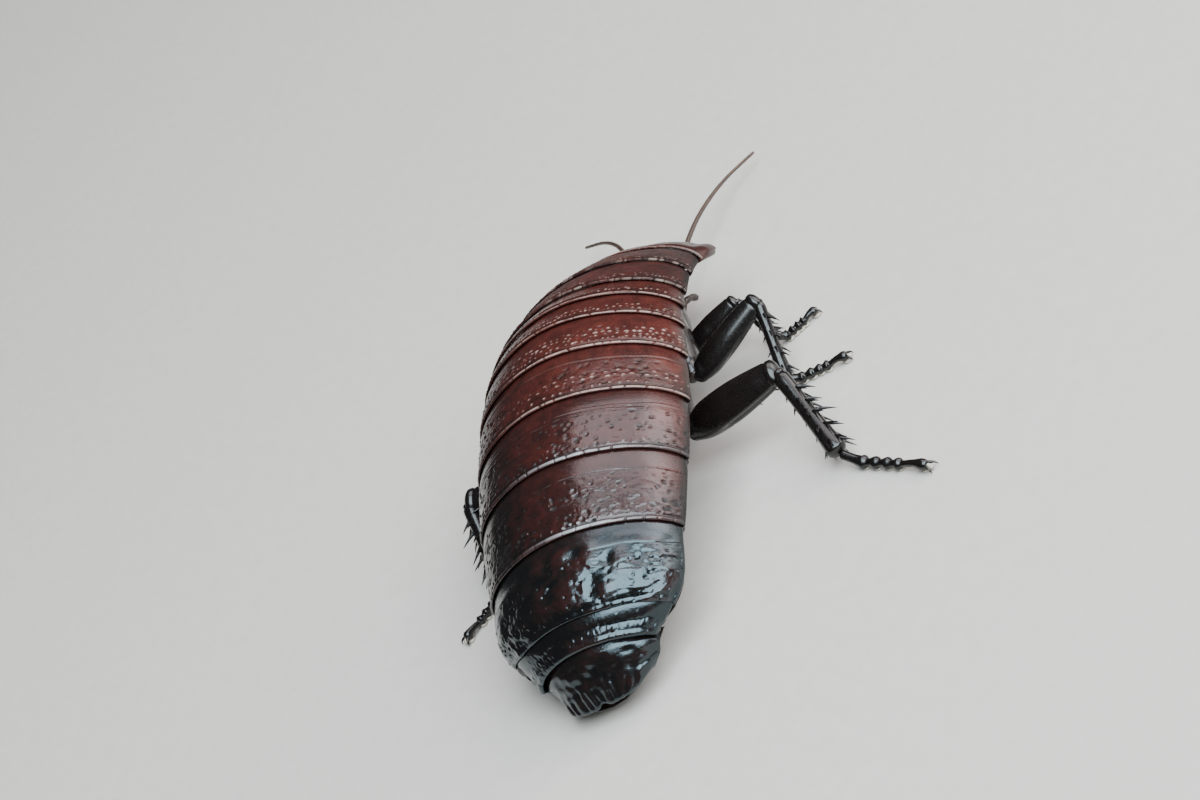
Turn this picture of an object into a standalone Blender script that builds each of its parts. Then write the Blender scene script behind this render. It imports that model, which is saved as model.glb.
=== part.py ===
# Madagascar hissing cockroach, life size, standing with its tail end low.
# +Y is towards the head, +X is the animal's right, the floor is z = 0.
import math
import random

import bmesh
import bpy
import numpy as np
from mathutils import Matrix, Vector

NAME = "madagascar_hissing_cockroach"
MM = 0.001
GAP = 0.3
# Middle of the footprint, which becomes the origin once all nodes are made.
CENTRE = (5.667, 15.793)

# Body stations from the pronotum's front edge to the rear of segment 9, in mm:
# arc from the pronotum's rear edge, half width, y, z of the side margins,
# slope in degrees, height of the back over the margins, depth of the belly,
# shift to the right and twist in degrees, as the tail bends to the left.
STATIONS = np.array([
    (-10.40, 3.00, 36.35, 5.55, -31.0, 0.50, 3.6, 0.00, 0.0),
    (-5.00, 10.40, 31.72, 8.33, -30.0, 3.60, 3.8, 0.00, 0.0),
    (0.00, 10.76, 27.33, 10.79, -27.6, 4.64, 4.1, 0.00, 0.0),
    (6.09, 11.62, 21.70, 13.12, -17.3, 5.30, 4.4, 0.00, 0.0),
    (11.50, 12.07, 16.41, 14.27, -7.1, 5.96, 4.6, 0.00, 0.0),
    (14.18, 12.15, 13.74, 14.43, 0.4, 6.62, 4.7, 0.00, 0.0),
    (17.53, 12.46, 10.39, 14.27, 5.0, 7.29, 4.9, 0.00, 0.0),
    (22.10, 12.80, 5.86, 13.69, 9.7, 7.73, 5.1, 0.05, 0.0),
    (28.08, 12.95, 0.00, 12.50, 13.2, 7.95, 5.3, 0.00, 0.3),
    (35.23, 12.73, -6.91, 10.65, 16.7, 7.95, 5.1, -0.30, 2.0),
    (43.63, 11.99, -14.89, 8.02, 19.9, 7.29, 4.4, -0.70, 5.0),
    (51.33, 10.05, -22.07, 5.25, 22.6, 5.70, 3.0, -0.95, 6.5),
    (53.49, 7.37, -24.04, 4.35, 25.4, 4.20, 1.3, -0.90, 7.0),
    (58.50, 5.00, -28.42, 2.05, 28.0, 1.20, 0.5, -1.00, 7.0),
])
ARC = STATIONS[:, 0]
ROWS = STATIONS[:, 1:]
SLOPES = np.gradient(ROWS, ARC, axis=0)
ROUND = 1.67
COLUMNS = 16

# Rear edge of each plate as an arc position.
PRONOTUM = (-10.40, 0.00)
MESONOTUM = (0.00, 6.45)
METANOTUM = (6.45, 11.50)
ABDOMEN = (11.50, 14.18, 17.53, 22.10, 28.08, 35.23, 43.20, 51.33, 53.60)
# How far each abdomen plate's right and left rear corners reach back past its edge.
CORNERS_RIGHT = (0.0, 0.1, 0.1, 0.2, 0.3, 0.4, 0.3, 0.0, 0.0)
CORNERS_LEFT = (0.0, 0.1, 0.1, 0.2, 0.3, 0.4, 0.2, -1.2, 0.3)
RIM = 0.30
LIP = 0.50

# Each leg: coxa root, trochanter, knee, ankle, tip of the foot, in mm.
LEGS = {
    "front_right": ((4.0, 28.2, 7.4), (4.9, 22.4, 3.7), (12.1, 24.8, 5.7), (14.8, 21.4, 1.35), (19.5, 24.3, 0.6)),
    "front_left": ((-4.0, 28.2, 7.4), (-4.9, 22.4, 3.7), (-11.3, 26.6, 5.8), (-14.6, 31.4, 1.35), (-18.8, 35.8, 0.6)),
    "mid_right": ((5.6, 22.4, 9.2), (7.2, 15.0, 4.8), (16.7, 19.2, 8.1), (16.6, 13.1, 1.35), (24.1, 13.4, 0.6)),
    "mid_left": ((-5.6, 22.4, 9.2), (-7.2, 15.0, 4.8), (-15.6, 20.4, 8.2), (-18.2, 16.0, 1.35), (-22.9, 21.4, 0.6)),
    "hind_right": ((5.0, 15.6, 9.0), (6.9, 6.6, 4.6), (19.8, 5.3, 7.8), (24.2, -4.2, 1.75), (34.4, -10.9, 0.6)),
    "hind_left": ((-5.0, 15.6, 9.0), (-6.9, 6.6, 4.6), (-20.0, 8.2, 7.1), (-18.2, 0.0, 1.70), (-22.9, -6.4, 0.6)),
}
# Greatest radius of coxa, femur, tibia, and the tibia's spines along each row.
LEG_SIZES = {
    "front": (1.45, 1.30, 0.58, 4),
    "mid": (1.70, 1.55, 0.70, 4),
    "hind": (1.80, 2.15, 0.98, 5),
}

# Rows of spines: turn from the side that faces the folded limb, share of the full length.
FEMUR_SPINES = ((-32, 1.0), (32, 1.0))
TIBIA_SPINES = ((0, 0.45), (110, 0.9), (152, 1.0), (200, 1.0), (245, 0.9))

SHELL = (0.060, 0.016, 0.012)
SHELL_DARK = (0.028, 0.012, 0.011)
BELLY = (0.075, 0.030, 0.016)
LEG = (0.022, 0.013, 0.011)
EYE = (0.010, 0.008, 0.008)
FEELER = (0.045, 0.020, 0.012)

for item in list(bpy.data.objects):
    bpy.data.objects.remove(item, do_unlink=True)
body = bpy.data.collections.new(NAME)
bpy.context.scene.collection.children.link(body)
cutters = bpy.data.collections.new("cutters")
cutters.hide_render = True
bpy.context.scene.collection.children.link(cutters)


def station(arc):
    """Row of the table at an arc position, smoothly between the stations."""
    i = int(np.clip(np.searchsorted(ARC, arc) - 1, 0, len(ARC) - 2))
    span = ARC[i + 1] - ARC[i]
    t = (arc - ARC[i]) / span
    row = (2 * t**3 - 3 * t**2 + 1) * ROWS[i]
    row = row + (t**3 - 2 * t**2 + t) * span * SLOPES[i]
    row = row + (-2 * t**3 + 3 * t**2) * ROWS[i + 1]
    return row + (t**3 - t**2) * span * SLOPES[i + 1]


def place(arc, across, height):
    """Point at a sideways distance and a height over the margins' plane."""
    _, y, z, slope, _, _, shift, twist = station(arc)
    slope = math.radians(slope)
    twist = math.radians(twist)
    turned = across * math.cos(twist) - height * math.sin(twist)
    height = across * math.sin(twist) + height * math.cos(twist)
    return (turned + shift, y - height * math.sin(slope), z + height * math.cos(slope))


def arch(across):
    """Height of the back's rounded section, 1 at the middle, 0 at the margins."""
    return max(0.0, 1 - abs(across) ** ROUND) ** (1 / ROUND)


def fractions():
    """Sideways positions of the columns from the right margin to the left one."""
    turns = [math.pi * j / COLUMNS for j in range(COLUMNS + 1)]
    return [math.copysign(abs(math.cos(a)) ** (2 / ROUND), math.cos(a)) for a in turns]


def reach_back(f, corners):
    """Extra arc of a rear edge towards its right and left corners."""
    right, left = corners
    return right * max(0.0, f)**6 + left * max(0.0, -f)**6


def section(arc, half, upper, lower, lower_arc=None, corners=(0.0, 0.0)):
    """Closed ring: upper columns right to left, then lower ones left to right."""
    under_arc = arc if lower_arc is None else lower_arc
    top = [place(arc + reach_back(f, corners), half * f, upper(f)) for f in fractions()]
    under = [place(under_arc + reach_back(f, corners), half * f, lower(f)) for f in fractions()]
    return top + under[::-1]


def material(name, colour, roughness):
    made = bpy.data.materials.new(name)
    made.use_nodes = True
    shader = made.node_tree.nodes["Principled BSDF"]
    shader.inputs["Base Color"].default_value = (*colour, 1.0)
    shader.inputs["Roughness"].default_value = roughness
    made.diffuse_color = (*colour, 1.0)
    return made


def solid(name, bm, colour=None, roughness=0.35, collection=None, angle=35):
    """Object from a bmesh in mm, its faces turned outward."""
    bmesh.ops.scale(bm, vec=(MM, MM, MM), verts=bm.verts)
    bmesh.ops.recalc_face_normals(bm, faces=bm.faces)
    mesh = bpy.data.meshes.new(name)
    bm.to_mesh(mesh)
    bm.free()
    made = bpy.data.objects.new(name, mesh)
    (collection or body).objects.link(made)
    if colour:
        mesh.materials.append(material(name, colour, roughness))
        mesh.shade_smooth()
        mesh.set_sharp_from_angle(angle=math.radians(angle))
    return made


def joined_rings(rings, pairs=False):
    """Closed loft through rings of equal length; pairs closes an upper-lower ring."""
    bm = bmesh.new()
    loops = [[bm.verts.new(point) for point in ring] for ring in rings]
    count = len(loops[0])
    for one, two in zip(loops, loops[1:]):
        for j in range(count):
            k = (j + 1) % count
            bm.faces.new((one[j], one[k], two[k], two[j]))
    for loop in (loops[0], loops[-1]):
        if pairs:
            for j in range(count // 2 - 1):
                bm.faces.new((loop[j], loop[j + 1], loop[count - 2 - j], loop[count - 1 - j]))
        else:
            bm.faces.new(loop)
    return bm


def frames(points):
    """Unit tangents of a polyline."""
    steps = [(b - a).normalized() for a, b in zip(points, points[1:])]
    inner = [(a + b).normalized() for a, b in zip(steps, steps[1:])]
    return [steps[0]] + inner + [steps[-1]]


def sweep(points, radii, sides, flat=1.0, up=Vector((0, 0, 1)), grow=0.0):
    """Rounded limb along points; flat thins it across the up direction."""
    points = [Vector(p) for p in points]
    tangents = frames(points)
    if grow:
        points[0] = points[0] - tangents[0] * grow
        points[-1] = points[-1] + tangents[-1] * grow
    rings = []
    for point, tangent, radius in zip(points, tangents, radii):
        side = tangent.cross(up).normalized()
        rise = side.cross(tangent).normalized()
        ring = []
        for j in range(sides):
            turn = math.tau * (j + 0.5) / sides
            high = rise * (radius + grow) * math.sin(turn)
            wide = side * (radius * flat + grow) * math.cos(turn)
            ring.append(point + high + wide)
        rings.append(ring)
    return joined_rings(rings)


def between(a, b, shares, bow=(0, 0, 0)):
    """Points from a to b at the shares of the way, bowed aside in the middle."""
    a = Vector(a)
    b = Vector(b)
    return [a.lerp(b, s) + Vector(bow) * math.sin(math.pi * s) for s in shares]


def apply_modifiers(target):
    graph = bpy.context.evaluated_depsgraph_get()
    made = bpy.data.meshes.new_from_object(target.evaluated_get(graph), depsgraph=graph)
    target.modifiers.clear()
    old = target.data
    target.data = made
    bpy.data.meshes.remove(old)
    made.name = target.name


def keep_largest(target):
    """Drops every closed surface but the largest, and welds doubled points."""
    bm = bmesh.new()
    bm.from_mesh(target.data)
    bmesh.ops.remove_doubles(bm, verts=bm.verts, dist=2e-6)
    bmesh.ops.dissolve_degenerate(bm, edges=bm.edges, dist=2e-6)
    left = set(bm.faces)
    groups = []
    while left:
        queue = [left.pop()]
        group = set(queue)
        while queue:
            for edge in queue.pop().edges:
                for face in edge.link_faces:
                    if face in left:
                        left.remove(face)
                        group.add(face)
                        queue.append(face)
        groups.append(group)
    largest = max(groups, key=len)
    spare = [face for group in groups if group is not largest for face in group]
    bmesh.ops.delete(bm, geom=spare, context="FACES")
    bm.to_mesh(target.data)
    bm.free()


def combine(target, others, operation, solver="EXACT"):
    """One Boolean of the target with a collection of closed meshes."""
    group = bpy.data.collections.new("boolean_pieces")
    cutters.children.link(group)
    for item in others:
        for owner in list(item.users_collection):
            owner.objects.unlink(item)
        group.objects.link(item)
    bpy.context.view_layer.update()
    modifier = target.modifiers.new("pieces", "BOOLEAN")
    modifier.operation = operation
    modifier.operand_type = "COLLECTION"
    modifier.collection = group
    modifier.solver = solver
    apply_modifiers(target)
    for item in others:
        bpy.data.objects.remove(item, do_unlink=True)
    bpy.data.collections.remove(group)
    keep_largest(target)
    target.data.shade_smooth()
    target.data.set_sharp_from_angle(angle=math.radians(35))


def piece(bm):
    return solid("piece", bm, collection=cutters)


# Back plates and abdomen
def belly_side(belly, off):
    """Lower side of an abdomen ring: flat flanges at the margins, then the belly."""
    depth = belly - off - RIM
    return lambda f: -RIM - depth * max(0.0, 1 - f * f) ** 0.85


def shell_side(dome):
    """Underside of a thorax plate, which is open below."""
    return lambda f: (dome - 1.45) * arch(f) - 0.45


def plate_rings(front, rear, open_below, corners):
    """Rings of one overlapping plate from its hidden front to its hollow rear."""
    ahead, back = (np.array(pair) for pair in corners)
    reach = (ahead, ahead, ahead, (ahead + back) / 2, back, back, back, back)
    middle = front + 0.55 + 0.45 * (rear - front - 0.90)
    steps = (
        (front - 0.70, 0.90),
        (front + 0.05, 0.82),
        (front + 0.55, 0.32),
        (middle, 0.12),
        (rear - 0.35, 0.00),
        (rear, 0.12),
        (rear, LIP),
        (rear - 1.00, LIP + 0.05),
    )
    floor = rear - 1.00
    behind = (front - 0.70, front + 0.05, front + 0.55, middle, floor - 0.36, floor - 0.24, floor - 0.12, floor)
    rings = []
    for (arc, off), lower_arc, pair in zip(steps, behind, reach):
        half, _, _, _, dome, belly, _, _ = station(arc)
        upper = lambda f, top=dome - off: top * arch(f)
        if open_below:
            under_dome = station(lower_arc)[4]
            rings.append(section(arc, half - off, upper, shell_side(under_dome), lower_arc))
        else:
            rings.append(section(arc, half - off, upper, belly_side(belly, off), corners=pair))
    return rings


def plate(name, front, rear, open_below, colour, corners=((0.0, 0.0), (0.0, 0.0))):
    rings = plate_rings(front, rear, open_below, corners)
    return solid(name, joined_rings(rings, pairs=True), colour, 0.3)


plate("mesonotum", *MESONOTUM, True, SHELL)
plate("metanotum", *METANOTUM, True, SHELL)
for number, (front, rear) in enumerate(zip(ABDOMEN, ABDOMEN[1:]), start=1):
    tone = SHELL if number < 6 else SHELL_DARK
    corners = list(zip(CORNERS_RIGHT, CORNERS_LEFT))[number - 1:number + 1]
    plate(f"abdomen_segment_{number}", front, rear, False, tone, corners)


# Pronotum: a rounded shield with a thick rim and two low bumps
def shield_half(share):
    """Half width at a share of the way from the rear edge to the front."""
    bulge = 1 + 0.05 * math.sin(math.pi * share**0.8)
    return 10.76 * bulge * max(0.0, 1 - share**3) ** 0.5


def shield_dome(share):
    return 4.64 * max(0.0, 1 - share**2) ** 0.75


def shield_top(share):
    half = shield_half(share)
    reach = -PRONOTUM[0]

    def height(f):
        rim = 0.25 * max(0.0, (abs(f) - 0.9) / 0.1) * min(1.0, share * 8)
        bump = 0.0
        for side in (-1, 1):
            away = math.hypot(half * f - side * 2.7, (share - 0.70) * reach)
            bump += 0.85 * math.exp(-((away / 1.5) ** 2))
        return shield_dome(share) * arch(f) + rim + bump

    return height


def shield_under(share, thin):
    dome = shield_dome(share)
    if thin:
        return lambda f: dome * arch(f) - LIP - 0.02
    return lambda f: max(dome - 1.0, 0.0) * arch(f) - 0.5


def shield_ring(share):
    return section(PRONOTUM[0] * share, shield_half(share), shield_top(share), shield_under(share, False))


def build_pronotum():
    rings = [shield_ring(s) for s in (0.985, 0.96, 0.91, 0.85, 0.78, 0.71, 0.63, 0.53, 0.40, 0.24)]
    for share in (0.11, 0.035):
        rings.append(section(PRONOTUM[0] * share, shield_half(share), shield_top(share), shield_under(share, True)))
    edge = lambda f: 4.52 * arch(f)
    under = lambda f: 4.64 * arch(f) - LIP - 0.02
    rings.append(section(0.0, 10.70, edge, under))
    return solid("pronotum", joined_rings(rings, pairs=True), SHELL_DARK, 0.3)


build_pronotum()


# Thorax underside: the core that carries the legs and the neck
CORE = (
    (-3.6, 3.0, 2.4),
    (-2.2, 6.2, 3.6),
    (0.0, 8.0, 4.4),
    (3.0, 8.8, 5.1),
    (6.5, 9.3, 5.6),
    (9.0, 9.5, 5.7),
    (10.5, 9.2, 5.2),
)


def core_ring(arc, half, depth, grow=0.0):
    full, _, _, _, dome, _, _, _ = station(arc)
    if arc < 0:
        share = arc / PRONOTUM[0]
        full = shield_half(share)
        ceiling = shield_dome(share) - 1.0
    else:
        ceiling = dome - 1.45
    width = half + grow

    def upper(f):
        return ceiling * arch(width * f / full) - 0.5 - GAP - 0.05 + grow - 0.5 * abs(f) ** 8

    def lower(f):
        return -0.9 - (depth + grow - 0.9) * max(0.0, 1 - f * f) ** 0.6

    return section(arc, width, upper, lower)


def core_mesh(grow=0.0):
    rows = [list(row) for row in CORE]
    if grow:
        rows[0][0] -= grow
        rows[-1][0] += grow
    return joined_rings([core_ring(*row, grow=grow) for row in rows], pairs=True)


thorax = solid("thorax_underside", core_mesh(), BELLY, 0.4)


# Head, hung nose-down under the shield
HEAD_TOP = Vector((0, 33.2, 8.7))
HEAD_MOUTH = Vector((0, 30.7, 2.0))
HEAD_AXIS = (HEAD_MOUTH - HEAD_TOP).normalized()
HEAD_FACE = Vector((0, -HEAD_AXIS.z, HEAD_AXIS.y))
# Share of the way to the mouth, half width, half thickness
HEAD_ROWS = (
    (0.00, 1.20, 0.60),
    (0.06, 2.15, 1.15),
    (0.18, 2.85, 1.60),
    (0.34, 3.05, 1.80),
    (0.50, 2.75, 1.85),
    (0.66, 2.20, 1.65),
    (0.82, 1.70, 1.25),
    (0.94, 1.30, 0.85),
    (1.00, 0.80, 0.45),
)


def head_mesh(grow=0.0, sides=18):
    rings = []
    for share, wide, thick in HEAD_ROWS:
        shift = grow * (share - 0.5) * 2
        centre = HEAD_TOP.lerp(HEAD_MOUTH, share) + HEAD_AXIS * shift
        ring = []
        for j in range(sides):
            turn = math.tau * j / sides
            ring.append(centre + Vector((1, 0, 0)) * (wide + grow) * math.cos(turn)
                        + HEAD_FACE * (thick + grow) * math.sin(turn))
        rings.append(ring)
    return joined_rings(rings)


def head_point(share, across, out):
    """Point on the head: share down, sideways, and out from its middle plane."""
    return HEAD_TOP.lerp(HEAD_MOUTH, share) + Vector((across, 0, 0)) + HEAD_FACE * out


def ellipsoid(centre, radii, turn=Matrix.Identity(3), level=2):
    bm = bmesh.new()
    bmesh.ops.create_icosphere(bm, subdivisions=level, radius=1.0)
    bmesh.ops.scale(bm, vec=radii, verts=bm.verts)
    bmesh.ops.rotate(bm, matrix=turn, verts=bm.verts)
    bmesh.ops.translate(bm, vec=centre, verts=bm.verts)
    return bm


HEAD_TURN = Matrix((Vector((1, 0, 0)), HEAD_FACE, -HEAD_AXIS)).transposed()

head = solid("head", head_mesh(), SHELL_DARK, 0.3)
mouth_parts = [piece(ellipsoid(head_point(0.90, 0, 0.85), (1.05, 0.35, 0.95), HEAD_TURN, 1))]
for side in (-1, 1):
    mouth_parts.append(piece(sweep(
        [head_point(0.72, side * 1.5, -0.1), head_point(0.90, side * 1.35, 0.1), head_point(1.06, side * 0.5, 0.15)],
        (0.55, 0.60, 0.25), 8)))
    mouth_parts.append(piece(ellipsoid(head_point(0.36, side * 1.55, 1.55), (0.62, 0.45, 0.62), HEAD_TURN, 1)))
combine(head, mouth_parts, "UNION")

neck = piece(sweep([(0, 29.4, 8.6), (0, 31.2, 7.9), (0, 33.0, 7.2)], (2.0, 1.7, 1.5), 12))
combine(thorax, [neck], "UNION")
combine(thorax, [piece(head_mesh(GAP))], "DIFFERENCE")

for side, word in ((1, "right"), (-1, "left")):
    eye = solid(f"eye_{word}", ellipsoid(head_point(0.30, side * 2.62, 0.35), (0.95, 1.05, 1.45), HEAD_TURN, 2), EYE, 0.15)
    combine(eye, [piece(head_mesh(0.25))], "DIFFERENCE")


# Feelers and palps
FEELERS = {
    "right": ((1.75, 34.05, 5.55), (2.1, 35.1, 4.6), (2.5, 37.2, 4.15), (3.3, 42.2, 4.4),
              (4.4, 48.6, 3.9), (6.4, 55.0, 2.8), (9.4, 60.2, 1.6)),
    "left": ((-1.75, 34.05, 5.55), (-2.1, 35.1, 4.6), (-2.6, 37.2, 4.15), (-3.9, 42.2, 4.6),
             (-6.2, 48.2, 4.4), (-9.8, 53.4, 3.2), (-14.0, 57.0, 1.8)),
}
PALP = ((1.5, 31.75, 3.3), (2.25, 32.6, 2.45), (2.85, 33.9, 2.75), (3.2, 35.2, 2.2), (3.35, 36.2, 1.3))


def smooth_path(points, count):
    """Even points along a smooth line through the given ones."""
    points = np.array(points, float)
    spans = np.linalg.norm(np.diff(points, axis=0), axis=1)
    where = np.concatenate([[0], np.cumsum(spans)])
    slopes = np.gradient(points, where, axis=0)
    path = []
    for at in np.linspace(0, where[-1], count):
        i = int(np.clip(np.searchsorted(where, at) - 1, 0, len(where) - 2))
        span = where[i + 1] - where[i]
        t = (at - where[i]) / span
        point = (2 * t**3 - 3 * t**2 + 1) * points[i] + (t**3 - 2 * t**2 + t) * span * slopes[i]
        point = point + (-2 * t**3 + 3 * t**2) * points[i + 1] + (t**3 - t**2) * span * slopes[i + 1]
        path.append(Vector(point))
    return path


for word, points in FEELERS.items():
    path = smooth_path(points, 22)
    radii = [0.48 if i < 2 else 0.40 - 0.14 * i / 21 for i in range(22)]
    feeler = solid(f"antenna_{word}", sweep(path, radii, 7), FEELER, 0.45)
    combine(feeler, [piece(head_mesh(0.75))], "DIFFERENCE")
for side, word in ((1, "right"), (-1, "left")):
    path = smooth_path([(side * x, y, z) for x, y, z in PALP], 13)
    radii = (0.34, 0.36, 0.40, 0.33, 0.36, 0.42, 0.36, 0.34, 0.38, 0.44, 0.40, 0.34, 0.20)
    palp = solid(f"palp_{word}", sweep(path, radii, 7), FEELER, 0.45)
    combine(palp, [piece(head_mesh(GAP))], "DIFFERENCE")


# Legs
def leg_plane(*points):
    """Unit normal of the plane through trochanter, knee and ankle."""
    a, b, c = (Vector(p) for p in points)
    return (b - a).cross(c - b).normalized()


def limb_up(a, b, normal):
    """Direction in the leg's plane across the limb from a to b."""
    along = (Vector(b) - Vector(a)).normalized()
    return normal.cross(along).normalized()


def spine(root, way, length, radius):
    bm = bmesh.new()
    bmesh.ops.create_cone(bm, cap_ends=True, segments=4, radius1=radius, radius2=0.035, depth=length)
    bmesh.ops.translate(bm, vec=(0, 0, length / 2), verts=bm.verts)
    bmesh.ops.rotate(bm, matrix=Vector((0, 0, 1)).rotation_difference(way).to_matrix(), verts=bm.verts)
    bmesh.ops.translate(bm, vec=root, verts=bm.verts)
    return piece(bm)


def limb_spines(a, b, up, radius, rows, shares, length, lean, rng):
    """Spines in rows around a limb, each at a turn and a share of the length, leaning to its end."""
    a = Vector(a)
    b = Vector(b)
    along = (b - a).normalized()
    side = along.cross(up).normalized()
    made = []
    for r, (row, full) in enumerate(rows):
        for share in shares:
            turn = math.radians(row + rng.uniform(-8, 8))
            out = up * math.cos(turn) + side * math.sin(turn)
            tilt = math.radians(lean + rng.uniform(-7, 7))
            way = (out * math.sin(tilt) + along * math.cos(tilt)).normalized()
            size = full * length * rng.uniform(0.8, 1.1) * (0.75 + 0.35 * share) + radius * 0.65
            last = 0.96 - size * math.cos(tilt) / (b - a).length
            at = min(last, share + 0.03 * (r % 2) + rng.uniform(-0.02, 0.02))
            root = a.lerp(b, at) + out * radius * 0.35
            if (root + way * size).z > 0.25:
                made.append(spine(root, way, size, 0.20))
    return made


FOOT = (
    (0.00, 0.50), (0.12, 0.50), (0.23, 0.74), (0.255, 0.60), (0.275, 0.42),
    (0.37, 0.68), (0.395, 0.54), (0.415, 0.41), (0.50, 0.66), (0.525, 0.52),
    (0.545, 0.41), (0.62, 0.66), (0.645, 0.50), (0.665, 0.36), (0.78, 0.40),
    (0.89, 0.60), (0.94, 0.48),
)
PADS = ((0.22, 0.40), (0.36, 0.36), (0.49, 0.34), (0.61, 0.34), (0.90, 0.42))


def foot_height(share, start):
    """Height of the foot's middle line over the floor."""
    if share < 0.2:
        return start + (0.64 - start) * share / 0.2
    return 0.64 + 0.22 * math.sin(math.pi * max(0.0, (share - 0.65) / 0.30)) if share > 0.65 else 0.64


def foot_parts(ankle, tip):
    """Beaded foot, its pads, claws, all to be joined."""
    ankle = Vector(ankle)
    tip = Vector(tip)
    flat_way = Vector((tip.x - ankle.x, tip.y - ankle.y, 0))
    length = flat_way.length
    flat_way.normalize()
    side = flat_way.cross(Vector((0, 0, 1)))
    scale = min(1.0, 0.72 + length / 40)

    def at(share):
        point = ankle + flat_way * length * share
        return Vector((point.x, point.y, foot_height(share, ankle.z)))

    main = sweep([at(s) for s, _ in FOOT], [r * scale for _, r in FOOT], 7)
    parts = []
    for share, radius in PADS:
        bm = bmesh.new()
        bmesh.ops.create_cone(bm, cap_ends=True, segments=6, radius1=radius * 0.85, radius2=radius, depth=0.55)
        centre = at(share)
        bmesh.ops.translate(bm, vec=(centre.x, centre.y, 0.225), verts=bm.verts)
        parts.append(piece(bm))
    for way in (-1, 1):
        root = at(0.90) + side * way * 0.12
        parts.append(piece(sweep(
            [root, at(0.955) + side * way * 0.42 + Vector((0, 0, 0.10)),
             at(1.0) + side * way * 0.62 - Vector((0, 0, 0.22))],
            (0.26, 0.19, 0.06), 5)))
    return main, parts


def cut_at_floor(target):
    """Flat feet: the solid ends in flats at z = 0."""
    bm = bmesh.new()
    bm.from_mesh(target.data)
    cut = bmesh.ops.bisect_plane(
        bm, geom=bm.verts[:] + bm.edges[:] + bm.faces[:], dist=1e-7,
        plane_co=(0, 0, 0), plane_no=(0, 0, -1), clear_outer=True)
    edges = [item for item in cut["geom_cut"] if isinstance(item, bmesh.types.BMEdge)]
    bmesh.ops.holes_fill(bm, edges=edges, sides=0)
    bmesh.ops.recalc_face_normals(bm, faces=bm.faces)
    bm.to_mesh(target.data)
    bm.free()


def build_leg(name, seed):
    root, trochanter, knee, ankle, tip = LEGS[name]
    thick_coxa, thick_femur, thick_tibia, count = LEG_SIZES[name.split("_")[0]]
    rng = random.Random(seed)
    normal = leg_plane(trochanter, knee, ankle)

    shares = (0.0, 0.3, 0.6, 0.85, 0.96, 1.0)
    coxa_up = Vector((1 if root[0] > 0 else -1, 0.0, 0.9)).normalized()
    coxa_points = between(root, trochanter, shares)
    coxa_radii = [thick_coxa * r for r in (0.95, 1.0, 0.92, 0.72, 0.60, 0.40)]
    coxa = solid(f"coxa_{name}", sweep(coxa_points, coxa_radii, 12, 0.95, coxa_up), LEG, 0.35)
    combine(coxa, [piece(core_mesh(GAP))], "DIFFERENCE")

    femur_up = limb_up(trochanter, knee, normal)
    shares = (0.0, 0.06, 0.25, 0.5, 0.75, 0.92, 0.985, 1.03)
    femur_radii = [thick_femur * r for r in (0.50, 0.66, 0.98, 1.0, 0.86, 0.70, 0.62, 0.34)]
    femur_points = between(trochanter, knee, shares)
    femur = solid(f"femur_{name}", sweep(femur_points, femur_radii, 10, 0.62, femur_up), LEG, 0.3)
    thorns = limb_spines(trochanter, knee, femur_up, thick_femur * 0.8, FEMUR_SPINES, (0.40, 0.60, 0.78), 0.8, 50, rng)
    combine(femur, thorns, "UNION")
    combine(femur, [piece(sweep(coxa_points, coxa_radii, 12, 0.95, coxa_up, GAP))], "DIFFERENCE")

    tibia_up = limb_up(knee, ankle, normal)
    shares = (0.0, 0.10, 0.35, 0.7, 0.93, 1.0)
    tibia_radii = [thick_tibia * r for r in (0.85, 0.95, 0.92, 1.0, 1.15, 0.85)]
    tibia_points = between(knee, ankle, shares)
    tibia = solid(f"tibia_{name}", sweep(tibia_points, tibia_radii, 9, 0.9, tibia_up), LEG, 0.3)
    along = [0.19 + 0.63 * i / (count - 1) for i in range(count)]
    thorns = limb_spines(knee, ankle, tibia_up, thick_tibia * 0.95, TIBIA_SPINES, along, 2.3 * thick_tibia, 50, rng)
    combine(tibia, thorns, "UNION")
    combine(tibia, [piece(sweep(femur_points, femur_radii, 10, 0.62, femur_up, GAP))], "DIFFERENCE")

    main, parts = foot_parts(ankle, tip)
    tarsus = solid(f"tarsus_{name}", main, LEG, 0.3)
    combine(tarsus, parts, "UNION")
    combine(tarsus, [piece(sweep(tibia_points, tibia_radii, 9, 0.9, tibia_up, GAP))], "DIFFERENCE")
    cut_at_floor(tarsus)


for seed, name in enumerate(LEGS, start=3):
    build_leg(name, seed)


# Tail end: two-lobed plate over the cerci, and the plate below them
def lobes(f):
    """Rear outline of the last plate as a share of its length: notch and lobes."""
    return 1 - 0.09 * math.exp(-((f / 0.13) ** 2)) - 0.26 * abs(f) ** 3.2


def build_supra_anal_plate():
    start = ABDOMEN[-1]
    reach = 4.7
    rows = ((-0.70, 0.90), (0.08, 0.82), (0.55, 0.34))
    rings = []
    for arc, off in rows:
        half, _, _, _, dome, _, _, _ = station(start + arc)
        upper = lambda f, top=dome - off: top * arch(f)
        lower = lambda f, top=dome: (top - 1.5) * arch(f) - 0.35
        rings.append(section(start + arc, half - off, upper, lower))
    for share in (0.30, 0.50, 0.70, 0.86, 0.96, 1.0):
        top = []
        under = []
        for f in fractions():
            arc = start + reach * share * lobes(f)
            half, _, _, _, dome, _, _, _ = station(arc)
            edge = 0.25 if share == 1.0 else 0.0
            ridge = 0.10 * math.cos(f * 34) * max(0.0, share - 0.55)
            high = max(dome, 1.1) * arch(f) + ridge - edge
            thick = 0.62 if share > 0.5 else 0.9
            top.append(place(arc, (half - 0.30) * f, high))
            under.append(place(arc, (half - 0.30) * f, max(dome, 1.1) * arch(f) - thick + edge * 0.4))
        rings.append(top + under[::-1])
    return solid("supra_anal_plate", joined_rings(rings, pairs=True), SHELL_DARK, 0.25)


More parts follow.
